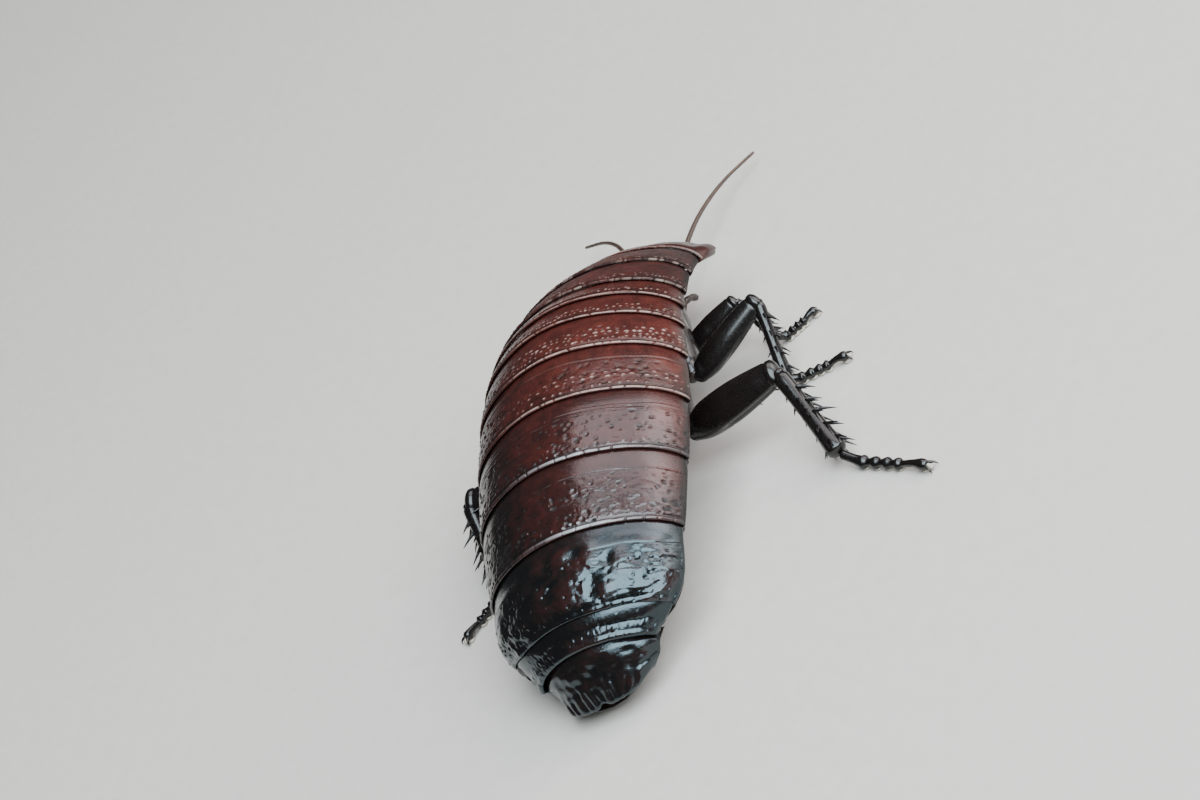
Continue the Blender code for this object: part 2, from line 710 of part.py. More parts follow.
build_supra_anal_plate()

# Arc, half width, height of the middle, rise of the sides
LOWER_PLATE = (
    (51.75, 7.0, -2.95, 1.0),
    (53.00, 6.7, -2.37, 1.0),
    (54.60, 5.6, -1.90, 0.8),
    (56.20, 4.3, -1.50, 0.5),
    (57.20, 3.0, -1.25, 0.3),
    (57.70, 1.7, -1.15, 0.1),
)


def build_subgenital_plate():
    rings = []
    for arc, half, height, bow in LOWER_PLATE:
        upper = lambda f, mid=height, rise=bow: mid + 0.30 + rise * f * f
        lower = lambda f, mid=height, rise=bow: mid - 0.30 + rise * f * f
        rings.append(section(arc, half, upper, lower, corners=(0.3, 0.3)))
    return solid("subgenital_plate", joined_rings(rings, pairs=True), SHELL_DARK, 0.35)


build_subgenital_plate()
CERCUS = ((54.3, 2.4, 0.45), (55.8, 3.0, 0.15), (57.2, 3.6, -0.35))
for side, word in ((1, "right"), (-1, "left")):
    path = smooth_path([place(arc, side * across, height) for arc, across, height in CERCUS], 12)
    radii = [(0.48 - 0.016 * i) * (1.0 if i % 2 else 0.86) for i in range(11)] + [0.16]
    solid(f"cercus_{word}", sweep(path, radii, 8), SHELL_DARK, 0.35)

for item in body.objects:
    item.data.transform(Matrix.Translation((-CENTRE[0] * MM, -CENTRE[1] * MM, 0)))
for block in (bpy.data.meshes, bpy.data.materials):
    for item in list(block):
        if not item.users:
            block.remove(item)
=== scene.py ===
# %% [markdown]
# # Madagascar hissing cockroach, life size
# An insect wears its skeleton outside, as plates of chitin joined by soft skin.
# This lesson dresses the plain solids of the part with those plates, at their
# real size, and gives each one the relief and the gloss of the real animal.
# The solids stay the frame: every new piece lies where its solid lies.

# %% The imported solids
import math
import random

import bmesh
import bpy
import numpy as np
from mathutils import Matrix, Vector


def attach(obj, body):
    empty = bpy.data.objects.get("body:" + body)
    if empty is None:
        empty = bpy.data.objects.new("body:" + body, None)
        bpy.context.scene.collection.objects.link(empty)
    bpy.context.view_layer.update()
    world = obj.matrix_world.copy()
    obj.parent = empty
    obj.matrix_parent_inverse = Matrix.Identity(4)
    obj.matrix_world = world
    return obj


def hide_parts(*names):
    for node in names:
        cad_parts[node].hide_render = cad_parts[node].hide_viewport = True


MM = 0.001


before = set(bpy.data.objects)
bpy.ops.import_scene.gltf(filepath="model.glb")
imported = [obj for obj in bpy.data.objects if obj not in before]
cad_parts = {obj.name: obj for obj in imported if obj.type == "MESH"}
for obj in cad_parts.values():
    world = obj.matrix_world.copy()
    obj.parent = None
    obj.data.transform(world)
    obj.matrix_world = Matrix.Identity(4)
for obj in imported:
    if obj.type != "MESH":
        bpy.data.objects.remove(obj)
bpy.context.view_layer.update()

# %% [markdown]
# ## The line of the body
# A cockroach is a low boat of plates, so one table of stations along the back
# drives it: how wide, how high and how deep the body is, and which way it leans.
# The same numbers made the solids. One could also sculpt the body freely, but
# a table keeps all plates on one surface, and a changed station moves them all.

# %% Stations, in millimetres
CENTRE = (5.667, 15.793, 0.0)
# Arc from the pronotum's rear edge, half width, y, z of the margins, slope in
# degrees, height of the back, depth of the belly, shift, twist in degrees.
STATIONS = np.array([
    (-10.40, 3.00, 36.35, 5.55, -31.0, 0.50, 3.6, 0.00, 0.0),
    (-5.00, 10.40, 31.72, 8.33, -30.0, 3.60, 3.8, 0.00, 0.0),
    (0.00, 10.76, 27.33, 10.79, -27.6, 4.64, 4.1, 0.00, 0.0),
    (6.09, 11.62, 21.70, 13.12, -17.3, 5.30, 4.4, 0.00, 0.0),
    (11.50, 12.07, 16.41, 14.27, -7.1, 5.96, 4.6, 0.00, 0.0),
    (14.18, 12.15, 13.74, 14.43, 0.4, 6.62, 4.7, 0.00, 0.0),
    (17.53, 12.46, 10.39, 14.27, 5.0, 7.29, 4.9, 0.00, 0.0),
    (22.10, 12.80, 5.86, 13.69, 9.7, 7.73, 5.1, 0.05, 0.0),
    (28.08, 12.95, 0.00, 12.50, 13.2, 7.95, 5.3, 0.00, 0.3),
    (35.23, 12.73, -6.91, 10.65, 16.7, 7.95, 5.1, -0.30, 2.0),
    (43.63, 11.99, -14.89, 8.02, 19.9, 7.29, 4.4, -0.70, 5.0),
    (51.33, 10.05, -22.07, 5.25, 22.6, 5.70, 3.0, -0.95, 6.5),
    (53.49, 7.37, -24.04, 4.35, 25.4, 4.20, 1.3, -0.90, 7.0),
    (58.50, 5.00, -28.42, 2.05, 28.0, 1.20, 0.5, -1.00, 7.0),
])
ARC = STATIONS[:, 0]
ROWS = STATIONS[:, 1:]
SLOPES = np.gradient(ROWS, ARC, axis=0)
HALF, Y, Z, SLOPE, DOME, BELLY, SHIFT, TWIST = range(8)
SIDES = ((1, "right"), (-1, "left"))


def cubic(at, where, values, slopes):
    """Values at given places, on a smooth curve through the known ones."""
    i = np.clip(np.searchsorted(where, at) - 1, 0, len(where) - 2)
    span = (where[i + 1] - where[i])[..., None]
    t = (at - where[i])[..., None] / span
    curve = (2 * t**3 - 3 * t**2 + 1) * values[i] + (t**3 - 2 * t**2 + t) * span * slopes[i]
    return curve + (-2 * t**3 + 3 * t**2) * values[i + 1] + (t**3 - t**2) * span * slopes[i + 1]


def station(arc):
    """Rows of the table at an array of arcs."""
    return cubic(np.asarray(arc, float), ARC, ROWS, SLOPES)


def hermite(knots, count):
    """Even points along a smooth line through the knots."""
    knots = np.array(knots, float)
    steps = np.linalg.norm(np.diff(knots, axis=0), axis=1)
    where = np.concatenate([[0], np.cumsum(steps)])
    return cubic(np.linspace(0, where[-1], count), where, knots, np.gradient(knots, where, axis=0))


def place(arc, across, height):
    """Points at sideways distances and heights over the margins' plane."""
    row = station(arc)
    slope = np.radians(row[..., SLOPE])
    twist = np.radians(row[..., TWIST])
    side = across * np.cos(twist) - height * np.sin(twist)
    rise = across * np.sin(twist) + height * np.cos(twist)
    x = side + row[..., SHIFT]
    y = row[..., Y] - rise * np.sin(slope)
    z = row[..., Z] + rise * np.cos(slope)
    return np.stack(np.broadcast_arrays(x, y, z), axis=-1)


def body_point(arc, across, height):
    """One such point, as a vector."""
    return Vector(place(np.array(arc), across, height).tolist())


ROUND = 1.67
CROWN = 0.05


def arch(f):
    """Height of the back's rounded section, 1 at the middle, 0 at the margins."""
    soft = (np.sqrt(np.square(f) + CROWN**2) - CROWN) / (math.sqrt(1 + CROWN**2) - CROWN)
    return np.maximum(0.0, 1 - soft**ROUND) ** (1 / ROUND)


def smooth(value, low, high):
    """0 under low, 1 over high, and an even S between them."""
    t = np.clip((np.asarray(value, float) - low) / (high - low), 0.0, 1.0)
    return t * t * (3 - 2 * t)


def step(value, low, high):
    """The same for one number."""
    return float(smooth(value, low, high))


def bell(value, middle, width):
    """1 at the middle, falling off softly on both sides."""
    return np.exp(-(((value - middle) / width) ** 2))


def peak(value, middle, width):
    """The same for one number."""
    return math.exp(-(((value - middle) / width) ** 2))


print("widest half in mm:", float(station(np.linspace(0, 50, 101))[:, HALF].max()))

# %% [markdown]
# ## Two ways to start a mesh
# A plate starts as a flat grid, whose points are then moved onto the body, as a
# maker bends a sheet over a form. A limb starts as a ball that is drawn out
# along its line, so both ends are closed from the start. Boxes or cylinders
# with modifiers would do as well, but these two keep the points evenly spread.

# %% Grids, drawn-out balls and finished pieces
def close_ends(bm):
    """Welds coincident points and fills what is still open."""
    bmesh.ops.remove_doubles(bm, verts=bm.verts, dist=1e-5)
    open_edges = [edge for edge in bm.edges if edge.is_boundary]
    if open_edges:
        bmesh.ops.holes_fill(bm, edges=open_edges, sides=0)


def bent_grid(points, **numbers):
    """Closed grid moved to an array of points, with numbers that a finish reads by name."""
    rows, columns = points.shape[:2]
    bm = bmesh.new()
    bmesh.ops.create_grid(bm, x_segments=columns - 1, y_segments=rows - 1, size=1.0)
    for vert, point in zip(bm.verts, points.reshape(-1, 3).tolist()):
        vert.co = point
    for name, values in numbers.items():
        layer = bm.verts.layers.float.new(name)
        for vert, value in zip(bm.verts, np.broadcast_to(values, (rows, columns)).ravel().tolist()):
            vert[layer] = value
    close_ends(bm)
    return bm


def give_finish(verts, finish):
    for face in {face for vert in verts for face in vert.link_faces}:
        face.material_index = finish


def drawn_out(bm, spot, around, along, finish=0, tone=0.5):
    """Ball whose points move to spot(share of the way, turn round the line)."""
    layer = bm.verts.layers.float.get("tone") or bm.verts.layers.float.new("tone")
    made = bmesh.ops.create_uvsphere(bm, u_segments=around, v_segments=along, radius=1.0)
    for vert in made["verts"]:
        share = math.acos(max(-1.0, min(1.0, -vert.co.z))) / math.pi
        turn = math.atan2(vert.co.y, vert.co.x)
        vert.co = spot(share, turn)
        vert[layer] = tone(share, turn) if callable(tone) else tone
    give_finish(made["verts"], finish)


triangles = {}


def finished(name, bm, finishes, slot, *nodes):
    """Object from a bmesh in mm: faces outward, at the origin, riding on the body."""
    bmesh.ops.recalc_face_normals(bm, faces=bm.faces)
    bmesh.ops.translate(bm, vec=[-value for value in CENTRE], verts=bm.verts)
    bmesh.ops.scale(bm, vec=(MM, MM, MM), verts=bm.verts)
    mesh = bpy.data.meshes.new(name)
    bm.to_mesh(mesh)
    bm.free()
    for finish in finishes:
        mesh.materials.append(finish)
    mesh.shade_smooth()
    piece = bpy.data.objects.new(name, mesh)
    bpy.context.scene.collection.objects.link(piece)
    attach(piece, "root")
    if nodes:
        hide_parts(*nodes)
    triangles[name] = sum(len(face.vertices) - 2 for face in mesh.polygons)


print("helpers ready")

# %% [markdown]
# ## The finish of chitin
# Chitin is a hard, waxed skin: deep colour under a clear gloss, with a fine
# network of cells that breaks the gloss up. A flat brown would look like
# plastic. So colour comes from a ramp read by a tone, mottled by noise, two
# sizes of bump give the cell network, and some parts have a coat over it all.

# %% Node helpers and the chitin recipe
def node(tree, kind, inputs=None, **settings):
    made = tree.nodes.new("ShaderNode" + kind)
    for key, value in settings.items():
        setattr(made, key, value)
    for key, value in (inputs or {}).items():
        made.inputs[key].default_value = value
    return made


def material(name):
    """New material with its tree and its surface shader."""
    made = bpy.data.materials.new(name)
    made.use_nodes = True
    return made, made.node_tree, made.node_tree.nodes["Principled BSDF"]


def coloured(tree, source, stops):
    """Colour that a ramp of (position, colour) pairs reads from a value."""
    made = node(tree, "ValToRGB")
    keys = made.color_ramp.elements
    while len(keys) < len(stops):
        keys.new(0.5)
    for key, (position, colour) in zip(keys, stops):
        key.position = position
        key.color = (*colour, 1.0)
    tree.links.new(source, made.inputs["Fac"])
    return made.outputs["Color"]


def in_millimetres(tree):
    """Object coordinates scaled so that a noise of scale 1 is 1 mm wide."""
    mapping = node(tree, "Mapping", {"Scale": (1000, 1000, 1000)})
    tree.links.new(node(tree, "TexCoord").outputs["Object"], mapping.inputs["Vector"])
    return mapping.outputs["Vector"]


def mottled(tree, spot, **inputs):
    """Noise at a place."""
    made = node(tree, "TexNoise", inputs)
    tree.links.new(spot, made.inputs["Vector"])
    return made.outputs["Fac"]


def mapped(tree, source, old, new):
    """Value moved from one range to another."""
    ends = dict(zip(("From Min", "From Max", "To Min", "To Max"), (*old, *new)))
    made = node(tree, "MapRange", ends)
    tree.links.new(source, made.inputs["Value"])
    return made.outputs["Result"]


def bumped(tree, source, strength, distance, under=None, **settings):
    """Normal of a bump whose height is given in mm, over another one."""
    made = node(tree, "Bump", {"Strength": strength, "Distance": distance * MM}, **settings)
    tree.links.new(source, made.inputs["Height"])
    if under:
        tree.links.new(under, made.inputs["Normal"])
    return made.outputs["Normal"]


def chitin(name, stops, gloss, coat, cells, depth, mottle, tone=True, tiny=24.0, worn=None, index=1.56,
           tint=(1.0, 1.0, 1.0)):
    """Procedural chitin: colours over a tone, gloss range, coat, size of the cells per mm."""
    made, tree, shader = material(name)
    link = tree.links.new
    spot = in_millimetres(tree)
    patches = mottled(tree, spot, Scale=0.8, Detail=5.0, Roughness=0.6, Distortion=0.6)
    total = node(tree, "Math", {1: 0.35}, operation="ADD", use_clamp=True)
    link(mapped(tree, patches, (0.3, 0.7), (-mottle / 2, mottle / 2)), total.inputs[0])
    if tone:
        link(node(tree, "Attribute", attribute_name="tone").outputs["Fac"], total.inputs[1])
    colour = coloured(tree, total.outputs["Value"], stops)
    grime = mottled(tree, spot, Scale=3.1, Detail=4.0, Roughness=0.65)
    roughness = mapped(tree, grime, (0.32, 0.68), gloss)
    # Mixes in a pale colour where the attribute says so: pale wear together with a painted highlight on rims
    # and grains.
    if worn:
        blend = node(tree, "Mix", {7: (*worn, 1.0)}, data_type="RGBA")
        link(node(tree, "Attribute", attribute_name="worn").outputs["Fac"], blend.inputs[0])
        link(colour, blend.inputs[6])
        colour = blend.outputs[2]
        rougher = node(tree, "Math", {1: 0.52}, operation="MULTIPLY_ADD")
        link(node(tree, "Attribute", attribute_name="dull").outputs["Fac"], rougher.inputs[0])
        link(roughness, rougher.inputs[2])
        roughness = rougher.outputs["Value"]
    net = node(tree, "TexVoronoi", {"Scale": cells}, feature="SMOOTH_F1")
    link(spot, net.inputs["Vector"])
    large = bumped(tree, net.outputs["Distance"], 1.0, depth)
    small = bumped(tree, mottled(tree, spot, Scale=tiny, Detail=2.0), 1.0, 0.25 * depth, large)
    link(colour, shader.inputs["Base Color"])
    link(roughness, shader.inputs["Roughness"])
    link(small, shader.inputs["Normal"])
    values = {"IOR": index, "Specular Tint": (*tint, 1.0), "Coat Weight": coat, "Coat Roughness": 0.10,
              "Coat IOR": 1.5}
    for key, value in values.items():
        shader.inputs[key].default_value = value
    return made


SHELL_STOPS = (
    (0.00, (0.120, 0.036, 0.019)),
    (0.20, (0.072, 0.016, 0.012)),
    (0.45, (0.042, 0.010, 0.008)),
    (0.65, (0.021, 0.007, 0.006)),
    (0.85, (0.008, 0.005, 0.0045)),
    (1.00, (0.004, 0.0035, 0.0035)),
)
# Pale colours for rims and grains, partly wear and partly a painted highlight; the cool grey goes with the
# bluish gloss of the rear plates.
WEAR_GLINT_WARM = (0.36, 0.26, 0.22)
WEAR_GLINT_COOL = (0.36, 0.36, 0.37)
# Name, gloss range, depth of the cells, mottle, pale colour of wear and painted highlight, refraction, tint of
# the gloss.
SHELLS = (
    ("shell_maroon", (0.18, 0.32), 0.012, 0.30, WEAR_GLINT_WARM, 1.42, (1.0, 0.84, 0.80)),
    ("shell_dark", (0.12, 0.24), 0.010, 0.22, WEAR_GLINT_COOL, 1.60, (0.68, 0.90, 1.0)),
    ("shell_sheen", (0.12, 0.24), 0.010, 0.22, WEAR_GLINT_COOL, 1.52, (1.0, 0.92, 0.93)),
    ("shell_satin", (0.40, 0.55), 0.012, 0.30, WEAR_GLINT_WARM, 1.25, (1.0, 1.0, 1.0)),
)
shell, shell_dark, shell_sheen, shell_satin = (
    chitin(name, SHELL_STOPS, gloss, 0.0, 7.0, depth, mottle, worn=worn, index=index, tint=tint)
    for name, gloss, depth, mottle, worn, index, tint in SHELLS)
print("shell finishes:", [row[0] for row in SHELLS])

# %% [markdown]
# ## Relief, as a beetle-collector would feel it
# Under a lens the back isn't smooth. Each plate ends in a thin raised rim that
# small notches break into dashes, a row of grains runs ahead of it, and the
# rear plates carry pits, wavy wrinkles and dents. These are real heights of a
# tenth of a millimetre, so the mesh moves: a bump texture has no silhouette.

# %% Noise, stamps and the columns of a plate
def noise(x, y, seed):
    """Smooth noise from -1 to 1 that changes over one unit of x and y."""
    size = 64
    lattice = np.random.RandomState(seed).uniform(-1.0, 1.0, (size, size))
    i = np.floor(x).astype(int)
    j = np.floor(y).astype(int)
    u = smooth(x - i, 0.0, 1.0)
    v = smooth(y - j, 0.0, 1.0)

    def between(row):
        return lattice[i % size, row % size] * (1 - u) + lattice[(i + 1) % size, row % size] * u

    return between(j) * (1 - v) + between(j + 1) * v


def stamps(x, y, spots):
    """Sum of soft bumps, each given as x, y, its two radii and its height."""
    total = np.zeros(np.broadcast(x, y).shape)
    for spot_x, spot_y, wide, long, high in spots:
        total += high * np.exp(-((x - spot_x) / wide) ** 2 - ((y - spot_y) / long) ** 2)
    return total


def even_fractions(count):
    """Sideways fractions evenly spaced along a typical section, right margin to left."""
    half, dome = 12.5, 7.4
    f = np.cos(np.linspace(0.0, np.pi, 4001))
    steps = np.hypot(np.diff(half * f), np.diff(dome * arch(f)))
    where = np.concatenate([[0.0], np.cumsum(steps)])
    return np.interp(np.linspace(0.0, where[-1], count), where, f), where[-1]


# The fold under each margin, from its inner edge out: sideways and down.
FOLD = np.array([(-1.40, -0.24), (-1.05, -0.31), (-0.70, -0.34), (-0.40, -0.33),
                 (-0.20, -0.28), (-0.07, -0.18), (-0.01, -0.08)])
FOLD_INSIDE = np.array([(-0.95, -0.14), (-0.75, -0.13), (-0.55, -0.11), (-0.38, -0.09),
                        (-0.22, -0.06), (-0.10, -0.04), (-0.03, -0.02)])
COLUMNS = 300
F_EVEN, AROUND = even_fractions(COLUMNS)
FLANK = AROUND / 2
ONES = np.ones(len(FOLD))
F_ALL = np.concatenate([ONES, F_EVEN, -ONES])
OFF_MIDDLE = np.abs(F_ALL)
SIDE = np.concatenate([ONES * FLANK, np.linspace(FLANK, -FLANK, COLUMNS), -ONES * FLANK])
SKIN = np.concatenate([0 * ONES, np.ones(COLUMNS), 0 * ONES])


def folded(fold):
    """Sideways and downward offsets of all columns for one fold profile."""
    out = np.concatenate([fold[:, 0], np.zeros(COLUMNS), -fold[::-1, 0]])
    down = np.concatenate([fold[:, 1], np.zeros(COLUMNS), fold[::-1, 1]])
    return out, down


print("columns:", len(F_ALL), "length over the back in mm:", round(AROUND, 1))

# %% [markdown]
# ## One back plate
# A tergite is a curved roof with a hollow rear edge that lies over the next
# one. Its grid starts at the hidden front, runs over the roof to the rear edge,
# rolls round a lip of 0.25 mm and comes back underneath, so that it is a closed
# shell. Solidify could give the wall, but it would thicken the relief as well.

# %% The grid of a back plate
LIP_ROWS = np.array([(-0.03, 0.06), (0.00, 0.12), (0.00, 0.17), (-0.04, 0.22), (-0.12, 0.25)])
RAISED_LIP_ROWS = 3
INNER_ROWS = 9
ROW_GAP = 0.1


def outline_rows(front, rear):
    """Arcs and depths under the full height, from the hidden front to the rear edge."""
    length = rear - front
    near = min(1.0, length / 4)
    knots = (
        (front - 0.70, 0.62),
        (front, 0.36),
        (front + 0.45 * near, 0.28),
        (front + 1.00 * near, 0.21),
        (front + 0.55 * length, 0.10),
        (rear - 0.45, 0.02),
        (rear - 0.10, 0.03),
    )
    return hermite(knots, int((length + 0.6) / ROW_GAP))


def lifted(points, relief):
    """Points moved along their grid's upward normals."""
    normal = np.cross(np.gradient(points, axis=1), np.gradient(points, axis=0))
    normal /= np.maximum(np.linalg.norm(normal, axis=2, keepdims=True), 1e-9)
    return points + normal * relief[..., None]


def dome_at(arcs):
    return station(arcs)[:, DOME]


def half_at(arcs):
    return station(arcs)[:, HALF]


def shell_grid(outer, relief, reach=0.0, tops=dome_at, halves=half_at, thick=0.26, short=0.0):
    """Closed grid from outer rows (arc, depth), whose wall ends short of the front."""
    length = len(outer)
    lips = len(LIP_ROWS)
    lip = outer[-1, 0] + 0.10 + LIP_ROWS[:, 0]
    back = np.linspace(outer[-1, 0] - 0.5, outer[0, 0] + short, INNER_ROWS)
    under = np.interp(back, outer[:, 0], outer[:, 1]) + thick
    arcs = np.concatenate([outer[:, 0], lip, back, outer[:1, 0]])
    depths = np.concatenate([outer[:, 1], LIP_ROWS[:, 1], under, outer[:1, 1]])
    inside = np.concatenate([np.zeros(length), np.linspace(0.05, 0.9, lips), np.ones(INNER_ROWS), [0.0]])
    inside = inside[:, None]
    half = (halves(arcs) - depths)[:, None]
    squeeze = np.clip(half / 2.5, 0.0, 1.0)
    out, down = folded(FOLD)
    out_inside, down_inside = folded(FOLD_INSIDE)
    across = half * F_ALL + squeeze * (out * (1 - inside) + out_inside * inside)
    top = np.maximum(tops(arcs) - depths, 0.02)[:, None]
    high = top * arch(F_ALL) + squeeze * (down * (1 - inside) + down_inside * inside)
    where = arcs[:, None] + (reach(arcs) if callable(reach) else reach)
    points = place(where, across, high)
    lip_relief = relief[-1] * np.linspace(0.9, 0.1, lips)[:RAISED_LIP_ROWS, None]
    raised = np.concatenate([np.maximum(relief, 0.06 - thick), lip_relief])
    points[:len(raised)] = lifted(points[:len(raised)], raised)
    points[-1] = points[0]
    return points


def full_rows(values, points, kept=1.0):
    """Values of the outer rows, with the last one, or a share of it, over the hidden rows."""
    spare = points.shape[0] - values.shape[0]
    return np.concatenate([values, kept * np.repeat(values[-1:], spare, axis=0)])


print("lip thickness in mm:", float(LIP_ROWS[-1, 1]))

# %% [markdown]
# ## Rims, grains, lines and pits
# Chance places the grains and notches, from a fixed seed for each plate, so
# that every run makes the same animal. A maker with a sculpting brush would
# place them by hand with the same irregular spacing.

# %% Relief of a back plate
SEEDS = 1000


def scattered(rng, gap):
    """Places from one margin to the other with uneven gaps."""
    spots = [-FLANK + rng.uniform(*gap)]
    while spots[-1] < FLANK:
        spots.append(spots[-1] + rng.uniform(*gap))
    return spots


def rim_relief(back, rng, tall, wide=0.12, gap=(0.5, 1.5)):
    """Broken rim along the rear edge, with the furrow and the notches."""
    notches = [(x, 0.0, rng.uniform(0.04, 0.12), 1.0, rng.uniform(0.1, 1.2)) for x in scattered(rng, gap)]
    cut = np.clip(stamps(SIDE, 0.0, notches), 0.0, 1.0)
    wave = 0.03 * noise(SIDE / 1.7, 0.0, rng.randrange(SEEDS))
    tall = tall * (1 + 0.30 * noise(SIDE / 0.8, 0.0, rng.randrange(SEEDS)))
    rim = tall * bell(back, wide + 0.05 + wave, wide) * (1 - cut)
    furrow = -0.050 * bell(back, 0.45 + wave, 0.13)
    nick = -0.07 * cut * bell(back, 0.02, 0.22)
    return rim + furrow + nick


def grain_relief(back, rng, rows):
    """Rows of grains: distance from the edge, gap, half length, half width, height."""
    total = 0.0
    for distance, gap, long, wide, high in rows:
        spots = []
        for x in scattered(rng, gap):
            size = rng.uniform(0.75, 1.25)
            y = distance + rng.uniform(-0.12, 0.12)
            spots.append((x, y, long * size, wide * size, high * rng.uniform(0.5, 1.2)))
        total = total + stamps(SIDE, back, spots)
    return total


def pit_relief(back, rng, count, low, high, deep, long=(0.10, 0.30), wide=(0.07, 0.16)):
    """Scattered pits and short furrows between two distances from the rear edge."""
    spots = []
    for _ in range(count):
        size = rng.uniform(*long)
        spots.append((rng.uniform(-FLANK, FLANK), rng.uniform(low, high), size,
                      rng.uniform(*wide), -deep * rng.uniform(0.4, 1.2)))
    return stamps(SIDE, back, spots)


def tubercle_relief(back, rng, length):
    """A few larger round tubercles on the left side."""
    spots = [(rng.uniform(1.5 - FLANK, 1.0), rng.uniform(0.5, max(0.6, length - 1.6)),
              rng.uniform(0.09, 0.14), rng.uniform(0.09, 0.14), rng.uniform(0.07, 0.13))
             for _ in range(int(length * 4))]
    return stamps(SIDE, back, spots)


def line_relief(ahead, rng, distance, high=0.035):
    """Fine raised line across the plate."""
    middle = distance + 0.16 * noise(SIDE / 3.1, 0.0, rng.randrange(SEEDS))
    return high * bell(ahead, middle, 0.07) - 0.6 * high * bell(ahead, middle + 0.17, 0.09)


def wrinkle_relief(back, seed, high, wide=1.9, long=0.75):
    """Wavy furrows that mostly run across the plate."""
    bend = 0.5 * noise(SIDE / 2.2, back / 2.2, seed + 5)
    ridge = noise(SIDE / wide + bend, back / long + bend, seed)
    small = noise(SIDE / (wide * 0.45), back / (long * 0.5) + bend, seed + 9)
    return high * ((1 - np.abs(ridge)) ** 3 - 0.35) + 0.4 * high * small


print("notches on a rim:", len(scattered(random.Random(1), (0.5, 1.5))))

# %% [markdown]
# ## The abdomen's back
# Eight visible tergites follow each other. The first four are short and deep
# red with rows of grains, the middle ones are the longest and have pits in
# their rear halves, and the seventh is nearly black, dented and very glossy.
# The left side is darker than the right, a painted shade, and a reddish glow
# runs along the margins inside a dark hem, because the plates are thinner there.

# %% Tergites 1 to 8
ABDOMEN = (11.50, 14.18, 17.53, 22.10, 28.08, 35.23, 43.20, 51.33, 53.60)
# How far the right and left ends of each edge reach behind its middle.
CORNERS = ((0.0, 0.1, 0.1, 0.2, 0.3, 0.4, 0.3, 0.0, 0.0), (0.0, 0.1, 0.1, 0.2, 0.3, 0.4, 0.2, -1.2, 0.3))
FINE_GRAINS = ((0.85, (0.35, 0.8), 0.16, 0.08, 0.075), (1.35, (0.4, 1.0), 0.18, 0.08, 0.060))
LONG_GRAINS = ((1.80, (0.5, 1.2), 0.22, 0.09, 0.085), (2.35, (0.6, 1.4), 0.22, 0.09, 0.070))
ROUND_GRAINS = ((0.78, (0.7, 1.5), 0.13, 0.11, 0.075), (1.60, (1.4, 3.5), 0.11, 0.10, 0.045))
# One number for each tergite, from the first to the eighth.
LOOKS = {
    "tone": (0.40, 0.37, 0.40, 0.45, 0.56, 0.64, 0.80, 0.88),
    "rim_height": (0.060, 0.065, 0.075, 0.080, 0.095, 0.100, 0.030, 0.030),
    "rim_width": (0.10, 0.10, 0.11, 0.11, 0.15, 0.16, 0.12, 0.12),
    "worn": (0.78, 0.85, 0.85, 0.66, 0.12, 0.04, 0.02, 0.02),
    "pits": (8, 8, 20, 50, 105, 140, 110, 14),
    "wrinkles": (0.006, 0.006, 0.006, 0.008, 0.013, 0.018, 0.075, 0.025),
    "dents": (0.015, 0.015, 0.015, 0.015, 0.015, 0.04, 0.15, 0.03),
    "warm": (0.0, 0.10, 0.22, 0.26, 0.30, 0.26, 0.10, 0.0),
    "painted_shade_left": (0.0, 0.0, 0.0, 0.0, 0.0, 0.06, 0.10, 0.16),
}
# Share, middle and width of the stretch of a rim painted pale as a painted highlight.
PAINTED_GLINT_RIMS = {5: (0.65, 0.30, 0.32), 6: (0.75, 0.36, 0.30)}
# The pale paint on rims and grains fades to the left, where less light falls: a painted highlight.
GLINT_FADE_LEFT = 0.10 + 0.90 * smooth(F_ALL, -0.55, -0.05)
DULL_MARGINS = 0.15 * smooth(OFF_MIDDLE, 0.90, 0.99)


def fades(relief):
    """Relief that dies out towards the folds."""
    return relief * smooth(1.0 - OFF_MIDDLE, 0.0, 0.006) * SKIN


def worn_tops(raised, strength):
    """Share of pale paint on rims and grains, wear and painted highlight, weaker towards the left."""
    return strength * smooth(raised, 0.026, 0.062) * GLINT_FADE_LEFT * SKIN


def tergite_relief(number, look, back, ahead, rng):
    """Height of a tergite's sculpture, and where its tops are painted pale, as wear and as a painted
    highlight.
    """
    length = float((back + ahead).max())
    gap = (1.1, 2.2) if number > 4 else (0.6, 3.0)
    relief = rim_relief(back, rng, look["rim_height"], look["rim_width"], gap)
    if number < 4:
        relief = relief + grain_relief(back, rng, FINE_GRAINS[:1 if number == 1 else 2])
    if number in (3, 4):
        relief = relief + grain_relief(back, rng, LONG_GRAINS)
    if number > 3:
        relief = relief + grain_relief(back, rng, ROUND_GRAINS)
    for share in {4: (0.27,), 5: (0.27, 0.34), 6: (0.27,), 7: (0.27,)}.get(number, ()):
        relief = relief + line_relief(ahead, rng, length * share)
    # Rims of the fifth and sixth plates get an extra pale stretch on the right, a painted highlight.
    glint, middle, width = PAINTED_GLINT_RIMS.get(number, (0.0, 0.0, 1.0))
    worn = worn_tops(relief, look["worn"] + glint * bell(F_ALL, middle, width))
    if number > 3:
        relief = relief + tubercle_relief(back, rng, length)
    pits = look["pits"]
    relief = relief + pit_relief(back, rng, pits, 0.55, length * 0.62, 0.100, (0.14, 0.30), (0.11, 0.19))
    relief = relief + pit_relief(back, rng, 2 * pits, 0.50, length * 0.70, 0.035)
    wrinkles = wrinkle_relief(back, number * 11, look["wrinkles"])
    relief = relief + wrinkles * smooth(ahead, length * 0.22, length * 0.50)
    if number == 8:
        relief = relief - 0.07 * bell(ahead, 1.15 + 0.12 * noise(SIDE / 1.3, 0.0, 81), 0.10)
        relief = relief + 0.25 * smooth(ahead, 1.10, 2.35)
    dents = look["dents"] * noise(SIDE / 1.7 + number, back / 1.5, number)
    return fades(relief + dents * smooth(ahead, 0.8, 2.2)), worn


